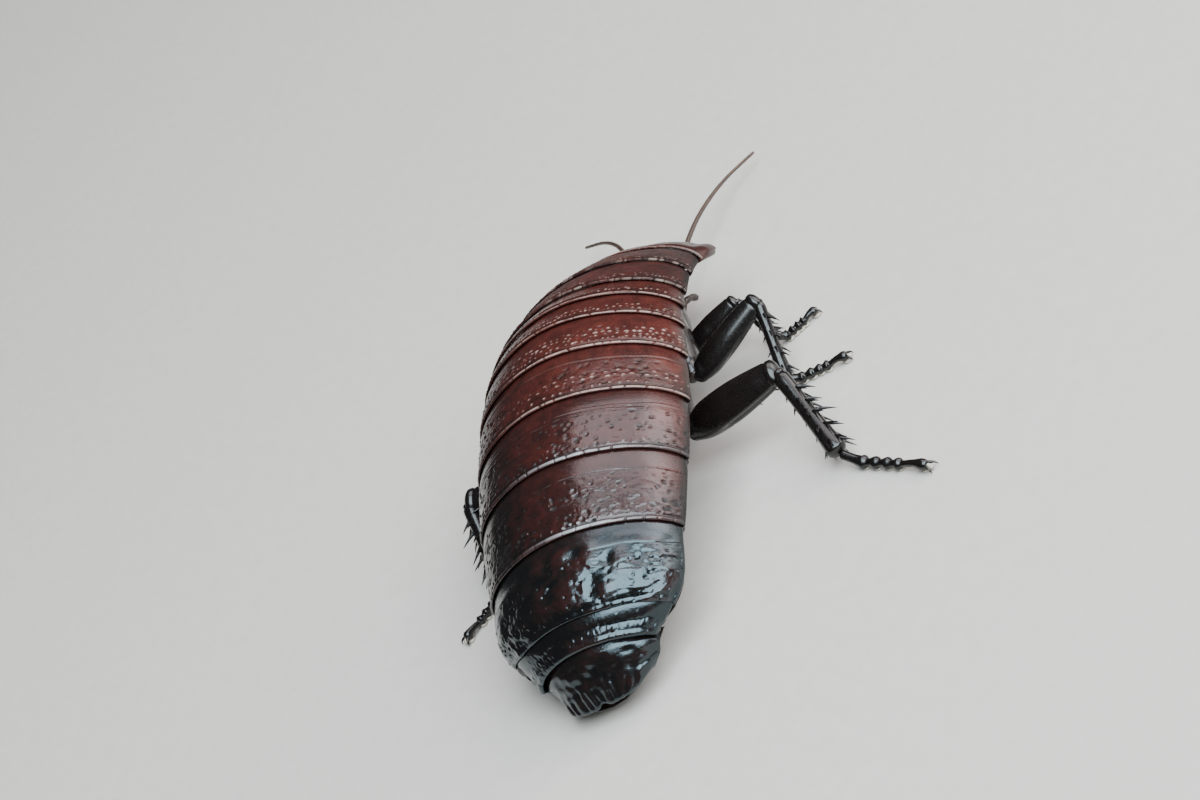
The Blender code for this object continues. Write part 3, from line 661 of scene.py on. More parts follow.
def tergite_tone(number, look, back, ahead, relief):
    """Darkness of a tergite: painted shade on the left, warm margins, a dark hem, painted shade in pits and
    furrows, lighter raised tops as a painted highlight.
    """
    tone = look["tone"] + 0.04 * smooth(F_ALL, 0.45, 0.93) + 0.06 * smooth(-F_ALL, 0.45, 0.90)
    warm = look["warm"] * bell(ahead / (ahead + back), 0.36, 0.28)
    tone = tone - warm * (bell(F_ALL, 0.90, 0.09) + 0.4 * bell(F_ALL, -0.90, 0.07))
    # The left half is darker, a painted shade, with a little noise.
    tone = tone + 0.19 * smooth(-F_ALL, 0.05, 0.65) + 0.05 * noise(SIDE / 2.5, back / 1.6, number + 70)
    # The rear plates get more painted shade on the left.
    tone = tone + look["painted_shade_left"] * smooth(-F_ALL, -0.25, 0.35)
    # Darker in pits, notches and wrinkles and along the furrow ahead of the rim: painted shade.
    tone = tone + 3.2 * np.clip(-relief, 0.0, 0.09) + 0.07 * bell(back, 0.5, 0.35)
    # Lighter on raised rims and grains: a painted highlight.
    tone = tone - 0.9 * np.clip(relief, 0.0, 0.10)
    return np.clip(tone + 0.25 * smooth(OFF_MIDDLE, 0.980, 0.997), -0.1, 1.0)


def tergite(number):
    look = {key: values[number - 1] for key, values in LOOKS.items()}
    front, rear = ABDOMEN[number - 1:number + 1]
    outer = outline_rows(front, rear)
    back = rear - outer[:, :1]
    ahead = outer[:, :1] - front
    relief, worn = tergite_relief(number, look, back, ahead, random.Random(100 + number))

    def reach(arcs):
        share = smooth(arcs, front + 0.3, rear - 0.3)[:, None]
        right, left = (corner[number - 1] * (1 - share) + corner[number] * share for corner in CORNERS)
        return right * np.maximum(0, F_ALL) ** 6 + left * np.maximum(0, -F_ALL) ** 6

    points = shell_grid(outer, relief, reach)
    tone = tergite_tone(number, look, back, ahead, relief)
    dull = DULL_MARGINS
    if number in PAINTED_GLINT_RIMS:
        pitted = 0.9 * np.clip(-relief - 0.02, 0.0, 0.06) / 0.06
        dull = np.minimum(full_rows(dull + pitted, points), 1.0)
    bm = bent_grid(points, tone=full_rows(tone, points), worn=full_rows(worn, points, 0.0), dull=dull)
    finish = shell if number < 5 else shell_sheen if number < 7 else shell_dark
    slot = "shell_maroon" if number < 6 else "shell_dark"
    finished(f"abdomen_tergite_{number}", bm, [finish], slot, f"abdomen_segment_{number}")


for number in range(1, 9):
    tergite(number)
print("triangles of the tergites:", sum(triangles.values()))

# %% [markdown]
# ## The two winged-thorax plates, without wings
# This cockroach never grows wings: the mesonotum and metanotum are plain broad
# plates with straight rear edges. They have the grid of the tergites, a finer
# surface with a few scratches, and a faint line along the middle of the back.

# %% Mesonotum and metanotum
def thorax_plate(name, front, rear, seed, base):
    rng = random.Random(seed)
    outer = outline_rows(front, rear)
    back = rear - outer[:, :1]
    relief = rim_relief(back, rng, 0.05) + grain_relief(back, rng, FINE_GRAINS)
    # Pale rims and grains: wear and a painted highlight.
    worn = worn_tops(relief, 0.7)
    relief = relief + pit_relief(back, rng, 70, 0.8, 4.0, 0.025, (0.08, 0.5))
    relief = relief + 0.030 * noise(SIDE / 2.1 + seed, back / 1.6, seed)
    relief = relief - 0.035 * bell(SIDE, 0.0, 0.14) * smooth(back, 0.5, 1.2)
    relief = fades(relief)
    # Margins darker; the left side darker, a painted shade; darker along the rear edge and its furrow and in
    # pits and scratches, a painted shade; some noise and a dark hem.
    tone = base + 0.14 * smooth(OFF_MIDDLE, 0.40, 0.92) + 0.08 * smooth(-F_ALL, 0.1, 0.7)
    tone = tone + 0.10 * bell(back, 0.3, 0.5) + 1.5 * np.clip(-relief, 0.0, 0.1)
    tone = tone + 0.06 * noise(SIDE / 2.2, back / 1.9, seed + 3)
    tone = np.clip(tone + 0.20 * smooth(OFF_MIDDLE, 0.980, 0.997), -0.1, 1.0)
    points = shell_grid(outer, relief)
    bm = bent_grid(points, tone=full_rows(tone, points), worn=full_rows(worn, points),
                   dull=DULL_MARGINS + 0.10)
    finished(name + "_plate", bm, [shell_satin], "shell_maroon", name)


thorax_plate("mesonotum", 0.00, 6.45, 21, 0.50)
thorax_plate("metanotum", 6.45, 11.50, 22, 0.46)
print("triangles with the thorax plates:", sum(triangles.values()))

# %% [markdown]
# ## The pronotum
# The shield over the head is the animal's face to the world: a rounded plate
# with a thick raised rim, two bumps near the front and shallow hollows behind
# them. Males have horns here, and this one has the low bumps of a female. It
# starts as the same grid, but its outline closes at the front like a coin's.

# %% Shield outline, bumps and hollows
REACH = 10.40
SHIELD_HALF = 10.76
SHIELD_DOME = 4.64


def shield_half(arcs):
    share = np.clip(-arcs / REACH, 0.0, 0.9995)
    bulge = 1 + 0.05 * np.sin(np.pi * share**0.8)
    return SHIELD_HALF * bulge * np.sqrt(1 - share**3)


def shield_dome(arcs):
    share = np.clip(-arcs / REACH, 0.0, 0.9995)
    return SHIELD_DOME * (1 - share**2) ** 0.75


def shield_relief(arcs, back, rng):
    """Rim, bumps, hollows and fine sculpture of the pronotum."""
    half = shield_half(arcs)
    x = half * F_ALL
    share = np.clip(-arcs / REACH, 0.0, 1.0)
    edge = (1 - OFF_MIDDLE) * half
    total = 0.30 * bell(edge, 0.0, 0.75) * smooth(share, 0.03, 0.2)
    total = total - 0.14 * bell(edge, 1.45, 0.65) * smooth(share, 0.05, 0.25) * smooth(half, 1.2, 3.2)
    for side in (-1, 1):
        away = np.hypot(x - side * 2.7, (share - 0.70) * REACH)
        total = total + 0.85 * bell(away, 0.0, 1.5)
        hollow = np.hypot((x - side * 2.4) / 1.5, (share - 0.42) * REACH / 1.1)
        total = total - 0.30 * bell(hollow, 0.0, 1.0)
        scar = np.hypot((x - side * 4.9) / 0.8, (share - 0.36) * REACH / 1.7)
        total = total - 0.16 * bell(scar, 0.0, 1.0)
    total = total - 0.06 * bell(x, 0.0, 0.20) * smooth(share, 0.10, 0.25) * smooth(share, 0.78, 0.6)
    total = total + 0.035 * noise(x / 1.3, arcs / 1.2, 41) + 0.018 * noise(x / 0.5, arcs / 0.45, 42)
    dots = [(rng.uniform(-10, 10), rng.uniform(0.8, 8.5), rng.uniform(0.07, 0.16),
             rng.uniform(0.07, 0.14), -0.045 * rng.uniform(0.4, 1.2)) for _ in range(420)]
    total = total + stamps(x, back, dots) * smooth(edge, 0.5, 1.2)
    return total + rim_relief(back, rng, 0.05) * smooth(share, 0.2, 0.05)


def pronotum_shield():
    q = np.concatenate([np.linspace(0.02, 0.30, 26)[:-1], np.linspace(0.30, 1.0, 92)])
    arcs = np.concatenate([-REACH * (1 - q**2)[:-1], [-0.10]])
    outer = np.stack([arcs, np.where(arcs > -0.45, 0.03, 0.0)], axis=1)
    back = -arcs[:, None]
    relief = shield_relief(arcs[:, None], back, random.Random(31)) * SKIN
    relief = relief * smooth(1 - OFF_MIDDLE, -0.001, 0.004)
    half = shield_half(arcs[:, None])
    tone = 0.58 + 0.20 * smooth(back, 2.0, 8.5) + 0.05 * noise(half * F_ALL / 1.6, back / 1.5, 44)
    tone = tone - 0.14 * bell(back, 1.2, 1.4) * smooth(1 - OFF_MIDDLE, 0.0, 0.5)
    # Darker in the hollows, scars and pits, a painted shade; lighter on the two bumps, a painted highlight.
    tone = tone + 1.2 * np.clip(-relief, 0.0, 0.12) - 0.25 * np.clip(relief - 0.3, 0.0, 0.6)
    points = shell_grid(outer, relief, 0.0, shield_dome, shield_half, 0.60, 0.3)
    # A pale line along the rear rim: wear and a painted highlight.
    worn = 0.5 * bell(back, 0.17, 0.12) * SKIN
    bm = bent_grid(points, tone=full_rows(np.clip(tone, 0, 1), points), worn=full_rows(worn, points, 0.0),
                   dull=DULL_MARGINS + 0.05)
    finished("pronotum_shield", bm, [shell], "shell_dark", "pronotum")


pronotum_shield()
print("triangles of the pronotum:", triangles["pronotum_shield"])

# %% [markdown]
# ## The plate over the anus
# The last plate of the back bends down in two lobes with a shallow notch
# between them, the right one fuller. Wrinkles fan out to its rear edge, and
# it is as glossy as lacquer, because it drags on nothing. Its rows follow the
# outline of the lobes, so the wrinkles are even waves in rows and columns.

# %% Supra-anal plate
def lobes():
    """Rear outline as a share of the plate's length: notch and lobes, the right one fuller."""
    right = 0.10 * OFF_MIDDLE**2.5 + 0.22 * OFF_MIDDLE**5 + 0.18 * OFF_MIDDLE**14
    left = 0.20 * OFF_MIDDLE**2.8 + 0.18 * OFF_MIDDLE**9
    return 1 - 0.05 * bell(F_ALL, 0.0, 0.11) - np.where(F_ALL > 0, right, left)


def last_plate():
    count = 56
    share = np.concatenate([np.linspace(-0.15, 0.97, count), [0.985, 1.0, 1.0, 0.985, 0.96]])
    depth = np.interp(share, (-0.15, 0.0, 0.06, 0.14, 0.30), (0.62, 0.38, 0.29, 0.22, 0.16))
    depth[count:] = (0.19, 0.27, 0.40, 0.50, 0.56)
    under = np.linspace(0.85, -0.15, 8)
    under_depth = np.interp(under, share[:count], depth[:count]) + 0.42
    shares = np.concatenate([share, under, share[:1]])[:, None]
    depths = np.concatenate([depth, under_depth, depth[:1]])[:, None]
    arcs = ABDOMEN[-1] + 4.9 * shares * np.where(shares > 0, lobes(), 1.0)
    row = station(arcs)
    half = row[..., HALF] - depths
    top = np.maximum(row[..., DOME], 1.1)
    across = half * F_ALL * (1 + 0.10 * np.clip(F_ALL, 0, 1) * np.sin(np.pi * np.clip(shares, 0, 1)))
    high = top * arch(F_ALL) - depths
    high = high + 0.15 * smooth(shares, 0.02, 0.16) - 0.28 * smooth(shares, 0.12, 0.60)
    high = high - 0.55 * OFF_MIDDLE**7 * smooth(shares, 0.0, 0.5) - 0.24 * smooth(shares, 0.60, 1.10)
    points = place(arcs, across, high)
    fan = 0.060 * np.cos(OFF_MIDDLE * 37 + 1.6 * noise(F_ALL * 5, shares * 3, 51)) * smooth(shares, 0.45, 0.85)
    fan = fan * (1 - 0.75 * smooth(shares, 0.90, 1.0)) * smooth(1 - OFF_MIDDLE, 0.0, 0.2)
    waves = 0.10 * noise(F_ALL * 8, shares * 8, 52) * smooth(shares, 0.05, 0.3) * smooth(shares, 0.95, 0.6)
    middle = -0.10 * bell(F_ALL, 0.0, 0.10) * smooth(shares, 0.15, 0.6)
    relief = (fan + waves + middle) * SKIN
    relief[len(share):-1] = 0.0
    relief[-1] = relief[0]
    points[:len(share)] = lifted(points[:len(share)], relief[:len(share)])
    points[-1] = points[0]
    # Darker in the troughs of the wrinkles, a painted shade.
    tone = 0.86 + 0.06 * noise(F_ALL * 6, shares * 5, 53) + np.clip(-relief, 0, 0.1)
    bm = bent_grid(points, tone=np.clip(tone, 0, 1), worn=0.0, dull=0.5 * DULL_MARGINS)
    finished("supra_anal_shield", bm, [shell_dark], "shell_dark", "supra_anal_plate")


last_plate()
print("triangles of the last plate:", triangles["supra_anal_shield"])

# %% [markdown]
# ## Soft skin between the plates
# Under the roof lies the animal's soft side: a leathery, folded skin that joins
# plates above and below and lets the abdomen swell. One closed sleeve runs from
# the neck to the tail inside all plates and shows only in the gaps, so there
# are no seams to hide. Its folds run along the sides, as in a bellows.

# %% Membrane finish and the sleeve
SKIN_STOPS = (
    (0.00, (0.120, 0.068, 0.036)),
    (0.35, (0.075, 0.038, 0.020)),
    (0.70, (0.030, 0.015, 0.009)),
    (1.00, (0.009, 0.006, 0.005)),
)
soft = chitin("underside_brown", SKIN_STOPS, (0.42, 0.62), 0.12, 9.0, 0.020, 0.30, tiny=30.0)

# Arc, half width and depth of the thorax's underside.
CORE = np.array([(-3.6, 3.0, 2.4), (-2.2, 6.2, 3.6), (0.0, 8.0, 4.4), (3.0, 8.8, 5.1),
                 (6.5, 9.3, 5.6), (9.0, 9.5, 5.7), (10.5, 9.2, 5.2)])
NECK_ARC = -3.9
TAIL_ARC = 56.0
SLEEVE_EDGE = 0.45


def sleeve():
    arcs = np.concatenate([np.linspace(NECK_ARC, 11.2, 76), np.linspace(11.4, TAIL_ARC, 224)])
    turn = np.linspace(0, 2 * np.pi, 129)
    row = station(arcs)
    in_thorax = smooth(arcs, 12.5, 10.0)
    core_half, core_deep = (np.interp(arcs, CORE[:, 0], CORE[:, i]) for i in (1, 2))
    half = core_half * in_thorax + (row[:, HALF] - 0.85) * (1 - in_thorax)
    deep = core_deep * in_thorax + (row[:, BELLY] - 0.55) * (1 - in_thorax)
    top = np.where(arcs < 0, shield_dome(np.minimum(arcs, -0.01)), row[:, DOME]) - 1.75
    top = np.maximum(top, 0.4)
    closing = np.sqrt(np.clip((arcs - NECK_ARC) / 1.6, 0, 1))
    closing = closing * np.sqrt(np.clip((TAIL_ARC - arcs) / 3.5, 0, 1))
    rise = np.sin(turn)
    f = np.cos(turn)
    over = (top * closing)[:, None] * np.abs(rise) ** 1.2 - SLEEVE_EDGE
    below = -SLEEVE_EDGE - ((deep - SLEEVE_EDGE) * closing)[:, None] * np.abs(rise) ** 1.25
    side = smooth(np.abs(f), 0.80, 0.97)
    folds = 0.16 * np.sin(arcs[:, None] * 4.2 + 2.0 * noise(arcs[:, None] / 2.0, turn * 2.0, 61)) * side
    depth = folds + 0.12 * noise(arcs[:, None] / 0.9, turn * 9.0, 62) * (1 - 0.5 * side)
    points = place(arcs[:, None], (half * closing)[:, None] * f, np.where(rise >= 0, over, below))
    points = lifted(points, -depth)
    points[:, -1] = points[:, 0]
    tone = 0.42 + 0.8 * np.clip(-depth, -0.2, 0.3) + 0.45 * smooth(arcs, 26, 46)[:, None]
    bm = bent_grid(points, tone=np.clip(tone, 0, 1))
    finished("soft_skin", bm, [soft], "underside_brown", "thorax_underside")


sleeve()
print("triangles of the sleeve:", triangles["soft_skin"])

# %% [markdown]
# ## The belly plates
# Sternites are the back plates' counterparts: seven wide, shallow plates of
# chestnut brown with darker side patches, each over the next one's front. They
# are flatter than tergites, so one small grid is bent over the belly's curve.

# %% Sternites
BELLY_STOPS = (
    (0.00, (0.100, 0.040, 0.018)),
    (0.40, (0.050, 0.018, 0.009)),
    (0.70, (0.020, 0.009, 0.006)),
    (1.00, (0.005, 0.004, 0.0035)),
)
belly = chitin("belly_chestnut", BELLY_STOPS, (0.22, 0.42), 0.45, 8.0, 0.012, 0.28)
LAP = 0.8
STERNITE_WIDE = 0.93


def belly_plate(number, front, rear):
    length = rear - front
    rng = random.Random(300 + number)
    f = np.linspace(STERNITE_WIDE, -STERNITE_WIDE, 121)
    rows = np.concatenate([np.linspace(front - LAP, rear - 0.1, int(length * 6) + 6),
                           [rear - 0.02, rear, rear - 0.05]])
    depth = np.interp(rows, (front - LAP, front, front + 1.0, rear), (0.75, 0.45, 0.20, 0.0))
    depth[-3:] = (0.05, 0.16, 0.28)
    inner = np.linspace(rear - 0.4, front - LAP, 6)
    inner_depth = np.interp(inner, rows[:-3], depth[:-3]) + 0.30
    arcs = np.concatenate([rows, inner, rows[:1]])[:, None]
    depths = np.concatenate([depth, inner_depth, depth[:1]])[:, None]
    row = station(arcs)
    arcs = arcs + 0.35 * (1 - np.abs(f) ** 2.0) * smooth(arcs, front, rear)
    low = -0.30 - (row[..., BELLY] - 0.30 - depths) * (1 - f * f) ** 0.85
    low = low + depths * 0.5 * np.abs(f) ** 6
    points = place(arcs, row[..., HALF] * f, low)
    back = rear - rows[:, None]
    dots = [(rng.uniform(-1, 1), rng.uniform(0.5, length), 0.012, 0.09, 0.030 * rng.uniform(-1, 1))
            for _ in range(160)]
    relief = stamps(f, back, dots) + 0.030 * noise(f * 7, back / 1.1, 310 + number)
    relief = relief + 0.04 * bell(back, 0.15, 0.12) - 0.03 * bell(back, 0.42, 0.14)
    count = len(rows)
    points[:count] = lifted(points[:count], -relief)
    points[-1] = points[0]
    tone = 0.44 + 0.26 * smooth(np.abs(f), 0.45, 0.8) + 0.10 * bell(back, 0.25, 0.5)
    tone = tone + 0.14 * bell(np.abs(f), 0.62, 0.10) * bell(back, length * 0.55, 0.6)
    tone = tone + 0.10 * smooth(arcs[:count], 25.0, 52.0) + 0.05 * noise(f * 5, back / 1.4, 320 + number)
    bm = bent_grid(points, tone=np.clip(full_rows(tone, points), 0, 1))
    finished(f"abdomen_sternite_{number}", bm, [belly], "underside_brown", f"abdomen_segment_{number}")


for number in range(1, 8):
    belly_plate(number, *ABDOMEN[number - 1:number + 1])
print("triangles of the belly plates:", sum(triangles[f"abdomen_sternite_{n}"] for n in range(1, 8)))

# %% [markdown]
# ## The lower tail plate
# Under the tail the subgenital plate closes the belly like the bowl of a spoon.
# In females it is wide and rounded. Its table gives arcs, widths and heights,
# and the grid has a top and a bottom face that meet in a rounded rim.

# %% Subgenital plate
# Arc, half width, height of the middle, rise of the sides.
LOWER_PLATE = np.array([(51.75, 7.0, -2.95, 1.0), (53.00, 6.7, -2.37, 1.0), (54.60, 5.6, -1.90, 0.8),
                        (56.20, 4.3, -1.50, 0.5), (57.20, 3.0, -1.25, 0.3), (57.70, 1.7, -1.15, 0.1)])


def spoon():
    count = 46
    rows = hermite(LOWER_PLATE, count)
    rows = np.concatenate([rows[:1], rows, rows[-1:]])
    arcs, half, middle, rise = (rows[:, i:i + 1] for i in range(4))
    arcs = arcs + np.concatenate([[-0.05], np.zeros(count), [0.14]])[:, None]
    half = half * np.concatenate([[0.0], np.ones(count), [0.0]])[:, None]
    turn = np.linspace(0, 2 * np.pi, 121)
    f = np.sign(np.cos(turn)) * np.abs(np.cos(turn)) ** 0.75
    thick = 0.30 * np.sign(np.sin(turn)) * np.abs(np.sin(turn)) ** 0.6
    thick = thick * np.concatenate([[0.2], np.ones(count), [0.2]])[:, None]
    high = middle + rise * f * f + thick
    high = high - 0.035 * noise(f * 5, arcs / 1.1, 71) * (thick < 0)
    points = place(arcs + 0.3 * np.abs(f) ** 6, half * f, high)
    points[:, -1] = points[:, 0]
    tone = 0.80 + 0.15 * smooth(np.abs(f), 0.6, 0.95) + 0.06 * noise(f * 4, arcs, 72)
    bm = bent_grid(points, tone=np.clip(tone, 0, 1))
    for side in (-1, 1):
        def flap(share, turn, side=side):
            rise = -math.cos(math.pi * share)
            ring = math.sin(math.pi * share) ** 0.9
            across = side * 1.9 + 1.9 * ring * math.cos(turn)
            high = -0.35 + 0.85 * rise + 0.06 * math.cos(9 * turn) * ring
            return body_point(55.0 + 2.0 * ring * math.sin(turn), across, high)

        drawn_out(bm, flap, 32, 24, 0, 0.92)
    finished("subgenital_bowl", bm, [belly], "shell_dark", "subgenital_plate")


spoon()
print("triangles so far:", sum(triangles.values()))

# %% [markdown]
# ## Tubes along a line
# Limbs, feelers and claws are all drawn-out balls along a smooth line. One
# helper bends the ball onto the line and asks a function how thick it is at
# each share of the way and each turn, so keels, grooves and rings are a few
# numbers each. A curve with a bevel would be round all the way.

# %% Framed lines, tubes, thorns and hairs
UPWARD = Vector((0, 0, 1))
HAIR = 1


def framed(points, count, up=(0.0, 0.0, 1.0)):
    """Even line through points with its sides and rises."""
    path = hermite(points, count)
    ahead = np.gradient(path, axis=0)
    ahead /= np.linalg.norm(ahead, axis=1, keepdims=True)
    side = np.cross(ahead, up)
    side /= np.linalg.norm(side, axis=1, keepdims=True)
    return [[Vector(row) for row in rows] for rows in (path, side, np.cross(side, ahead))]


def cap(t, reach):
    """Rounding factor that closes both ends of a tube."""
    near = min(t, 1.0 - t)
    return math.sqrt(max(0.0, 1 - (1 - near / reach) ** 2)) if near < reach else 1.0


def eased(share, ease):
    """Share of the way with more rings near both ends."""
    return share - ease * math.sin(math.tau * share) / math.tau


def tube(bm, line, radius, around, along, finish=0, tone=0.5, wide=1.0, ease=0.6):
    """Ball drawn out along a framed line; radius(share, turn) in mm."""
    path, side, rise = line
    last = len(path) - 1

    def spot(share, turn):
        t = eased(share, ease)
        i = min(int(t * last), last - 1)
        part = t * last - i
        way = side[i].lerp(side[i + 1], part) * (math.cos(turn) * wide)
        way = way + rise[i].lerp(rise[i + 1], part) * math.sin(turn)
        return path[i].lerp(path[i + 1], part) + way * radius(t, turn)

    drawn_out(bm, spot, around, along, finish, tone)


def table(rows):
    """Function that reads smooth values from rows of share and value."""
    curve = hermite(rows, 120)
    return lambda t: float(np.interp(t, curve[:, 0], curve[:, 1]))


THORN_SHARES = (0.0, 0.07, 0.13, 0.4, 0.75, 1.0)
THORN_SIZES = (1.25, 1.35, 0.95, 0.78, 0.42, 0.10)


def thorn(bm, root, way, length, radius, bend):
    """Curved spine with a socket ring at its foot."""
    middle = root + way * length * 0.5 + bend * 0.25 * length
    line = framed([root, middle, root + way * length + bend * length], 8, way.orthogonal())

    def thick(t, turn):
        size = radius * float(np.interp(t, THORN_SHARES, THORN_SIZES))
        return size * (0.97 + 0.03 * math.cos(4 * turn)) * cap(t, 0.03)

    tube(bm, line, thick, 8, 10, 0, 0.85, ease=0.2)


def hair(bm, root, way, length, radius):
    """Fine bristle, a thin three-sided cone."""
    turn = UPWARD.rotation_difference(way).to_matrix().to_4x4()
    made = bmesh.ops.create_cone(bm, cap_ends=True, segments=3, radius1=radius, radius2=radius * 0.15,
                                 depth=length, matrix=Matrix.Translation(root + way * length * 0.5) @ turn)
    give_finish(made["verts"], HAIR)


def ring_hairs(bm, line, thickness, count, first, rng, lengths, spread=1.0, lean=1.0, radius=0.012):
    """Bristles all round a tube, from a first point of its line to the last but one."""
    path, side, rise = line
    last = len(path) - 1
    for _ in range(count):
        i = rng.randrange(first, last - 1)
        turn = rng.uniform(0, math.tau)
        out = side[i] * math.cos(turn) + rise[i] * math.sin(turn)
        ahead = (path[i + 1] - path[i]).normalized()
        root = path[i] + out * thickness(i / last, turn) * 0.9
        hair(bm, root, (out * spread + ahead * lean).normalized(), rng.uniform(*lengths), radius)


print("tube helper ready")

# %% [markdown]
# ## The head
# The head hangs nose-down under the shield, like a bean with a face: a brow
# with a forked seam, two pale eye spots, raised feeler sockets, then the nose
# plate and the upper lip. One ball with 120 rings takes all of this as small
# moves of its points, and a tone paints pale seams and a dark brow.

# %% Head capsule
HEAD_STOPS = (
    (0.00, (0.260, 0.150, 0.070)),
    (0.30, (0.075, 0.028, 0.013)),
    (0.60, (0.020, 0.009, 0.006)),
    (1.00, (0.005, 0.004, 0.0035)),
)
face = chitin("head_chitin", HEAD_STOPS, (0.16, 0.34), 0.55, 10.0, 0.010, 0.18)
HEAD_TOP = Vector((0, 33.2, 8.7))
HEAD_MOUTH = Vector((0, 30.7, 2.0))
HEAD_AXIS = (HEAD_MOUTH - HEAD_TOP).normalized()
HEAD_FACE = Vector((0, -HEAD_AXIS.z, HEAD_AXIS.y))
HEAD_LONG = (HEAD_MOUTH - HEAD_TOP).length
WIDE = table(((0.00, 1.30), (0.06, 2.15), (0.18, 2.85), (0.34, 3.05), (0.50, 2.75),
              (0.66, 2.20), (0.82, 1.70), (0.94, 1.30), (1.00, 0.90)))
THICK = table(((0.00, 0.70), (0.06, 1.15), (0.18, 1.60), (0.34, 1.80), (0.50, 1.85),
               (0.66, 1.65), (0.82, 1.25), (0.94, 0.85), (1.00, 0.50)))
OVERHANG = 0.015
EYE_SPOT = (0.27, 1.05)


def head_point(share, across, out):
    """Point on the head: share down, sideways, and out from its middle plane."""
    return HEAD_TOP.lerp(HEAD_MOUTH, share) + Vector((across, 0, 0)) + HEAD_FACE * out


def head_share(share):
    """Share down the head at a share of the ball, a little beyond both ends."""
    return (1 + 2 * OVERHANG) * eased(share, 0.6) - OVERHANG


def near(t, u, spot_t, spot_u, size_t, size_u):
    return math.exp(-(((t - spot_t) / size_t) ** 2) - ((u - spot_u) / size_u) ** 2)


def seam(t, u):
    """Forked seam of the brow, 1 on the line."""
    stem = peak(u, 0.0, 0.07) * step(t, 0.25, 0.21)
    arm_u = 0.15 + (t - 0.22) * 12.0
    arm = peak(abs(u), arm_u, 0.09) * step(t, 0.20, 0.23) * step(t, 0.345, 0.32)
    return min(1.0, stem + arm)


def socket(t, u):
    """Distance in mm from the nearer feeler socket."""
    return math.hypot(abs(u) - 1.55, (t - 0.36) * HEAD_LONG)


def head_move(t, u, front):
    """Outward move of the face, in mm."""
    if not front:
        return 0.10 * near(t, u, 0.25, 0.0, 0.10, 1.2) - 0.25 * near(t, u, 0.45, 0.0, 0.15, 0.9)
    away = socket(t, u)
    move = 0.13 * near(t, u, 0.30, 0.0, 0.16, 1.5) - 0.05 * seam(t, u)
    move += 0.20 * peak(away, 0.64, 0.15) - 0.25 * peak(away, 0.0, 0.42)
    move += 0.05 * near(t, abs(u), *EYE_SPOT, 0.030, 0.28)
    move -= 0.08 * peak(t, 0.605, 0.012) * step(abs(u), 1.5, 1.1)
    move += 0.10 * near(t, u, 0.67, 0.0, 0.05, 1.1) - 0.07 * peak(t, 0.745, 0.010)
    move -= 0.10 * near(t, abs(u), 0.58, 1.65, 0.10, 0.14)
    return move


def head_tone(share, turn):
    t = head_share(share)
    u = WIDE(t) * math.cos(turn)
    if math.sin(turn) < 0:
        return 0.62 - 0.25 * near(t, u, 0.45, 0.0, 0.2, 1.2)
    tone = 0.78 - 0.40 * seam(t, u) - 0.35 * step(t, 0.58, 0.62) - 0.25 * near(t, u, 0.75, 0, 0.02, 2)
    tone -= 0.80 * near(t, abs(u), *EYE_SPOT, 0.026, 0.24)
    tone -= 0.25 * peak(socket(t, u), 0.0, 0.55)
    return tone + 0.10 * near(t, u, 0.45, 0.0, 0.08, 0.9)


# Knots of the mouth's parts as share, sideways and out: lip, jaws, lobes, feelers and chin.
LIP = ((0.765, 0, 1.12), (0.86, 0, 1.10), (0.95, 0, 0.92), (1.03, 0, 0.70))
JAW = ((0.68, 1.55, -0.10), (0.82, 1.55, 0.12), (0.95, 1.15, 0.30), (1.05, 0.30, 0.28))
GALEA = ((0.80, 1.05, -0.55), (0.95, 0.85, -0.45), (1.07, 0.40, -0.15))
LIP_FEELER = ((0.86, 0.70, -0.85), (0.97, 1.15, -1.05), (1.06, 1.35, -0.55), (1.12, 1.15, -0.05))
CHIN = ((0.62, 0, -1.30), (0.80, 0, -1.28), (0.97, 0, -0.82))
LIP_WIDE = table(((0.0, 0.75), (0.25, 1.0), (0.7, 0.92), (0.93, 0.62), (1.0, 0.45)))


def head_line(knots, count, side=1):
    return framed([head_point(share, side * across, out) for share, across, out in knots], count, HEAD_FACE)


def flat_round(turn, low):
    """1 at both sides and low at the top and bottom of a flattened tube."""
    return low + (1 - low) * math.cos(turn) ** 2


def lip_radius(t, turn):
    notch = 1 - 0.16 * peak(math.cos(turn), 0.0, 0.25) * t**6
    return 0.98 * LIP_WIDE(t) * flat_round(turn, 0.34) * cap(t, 0.10) * notch


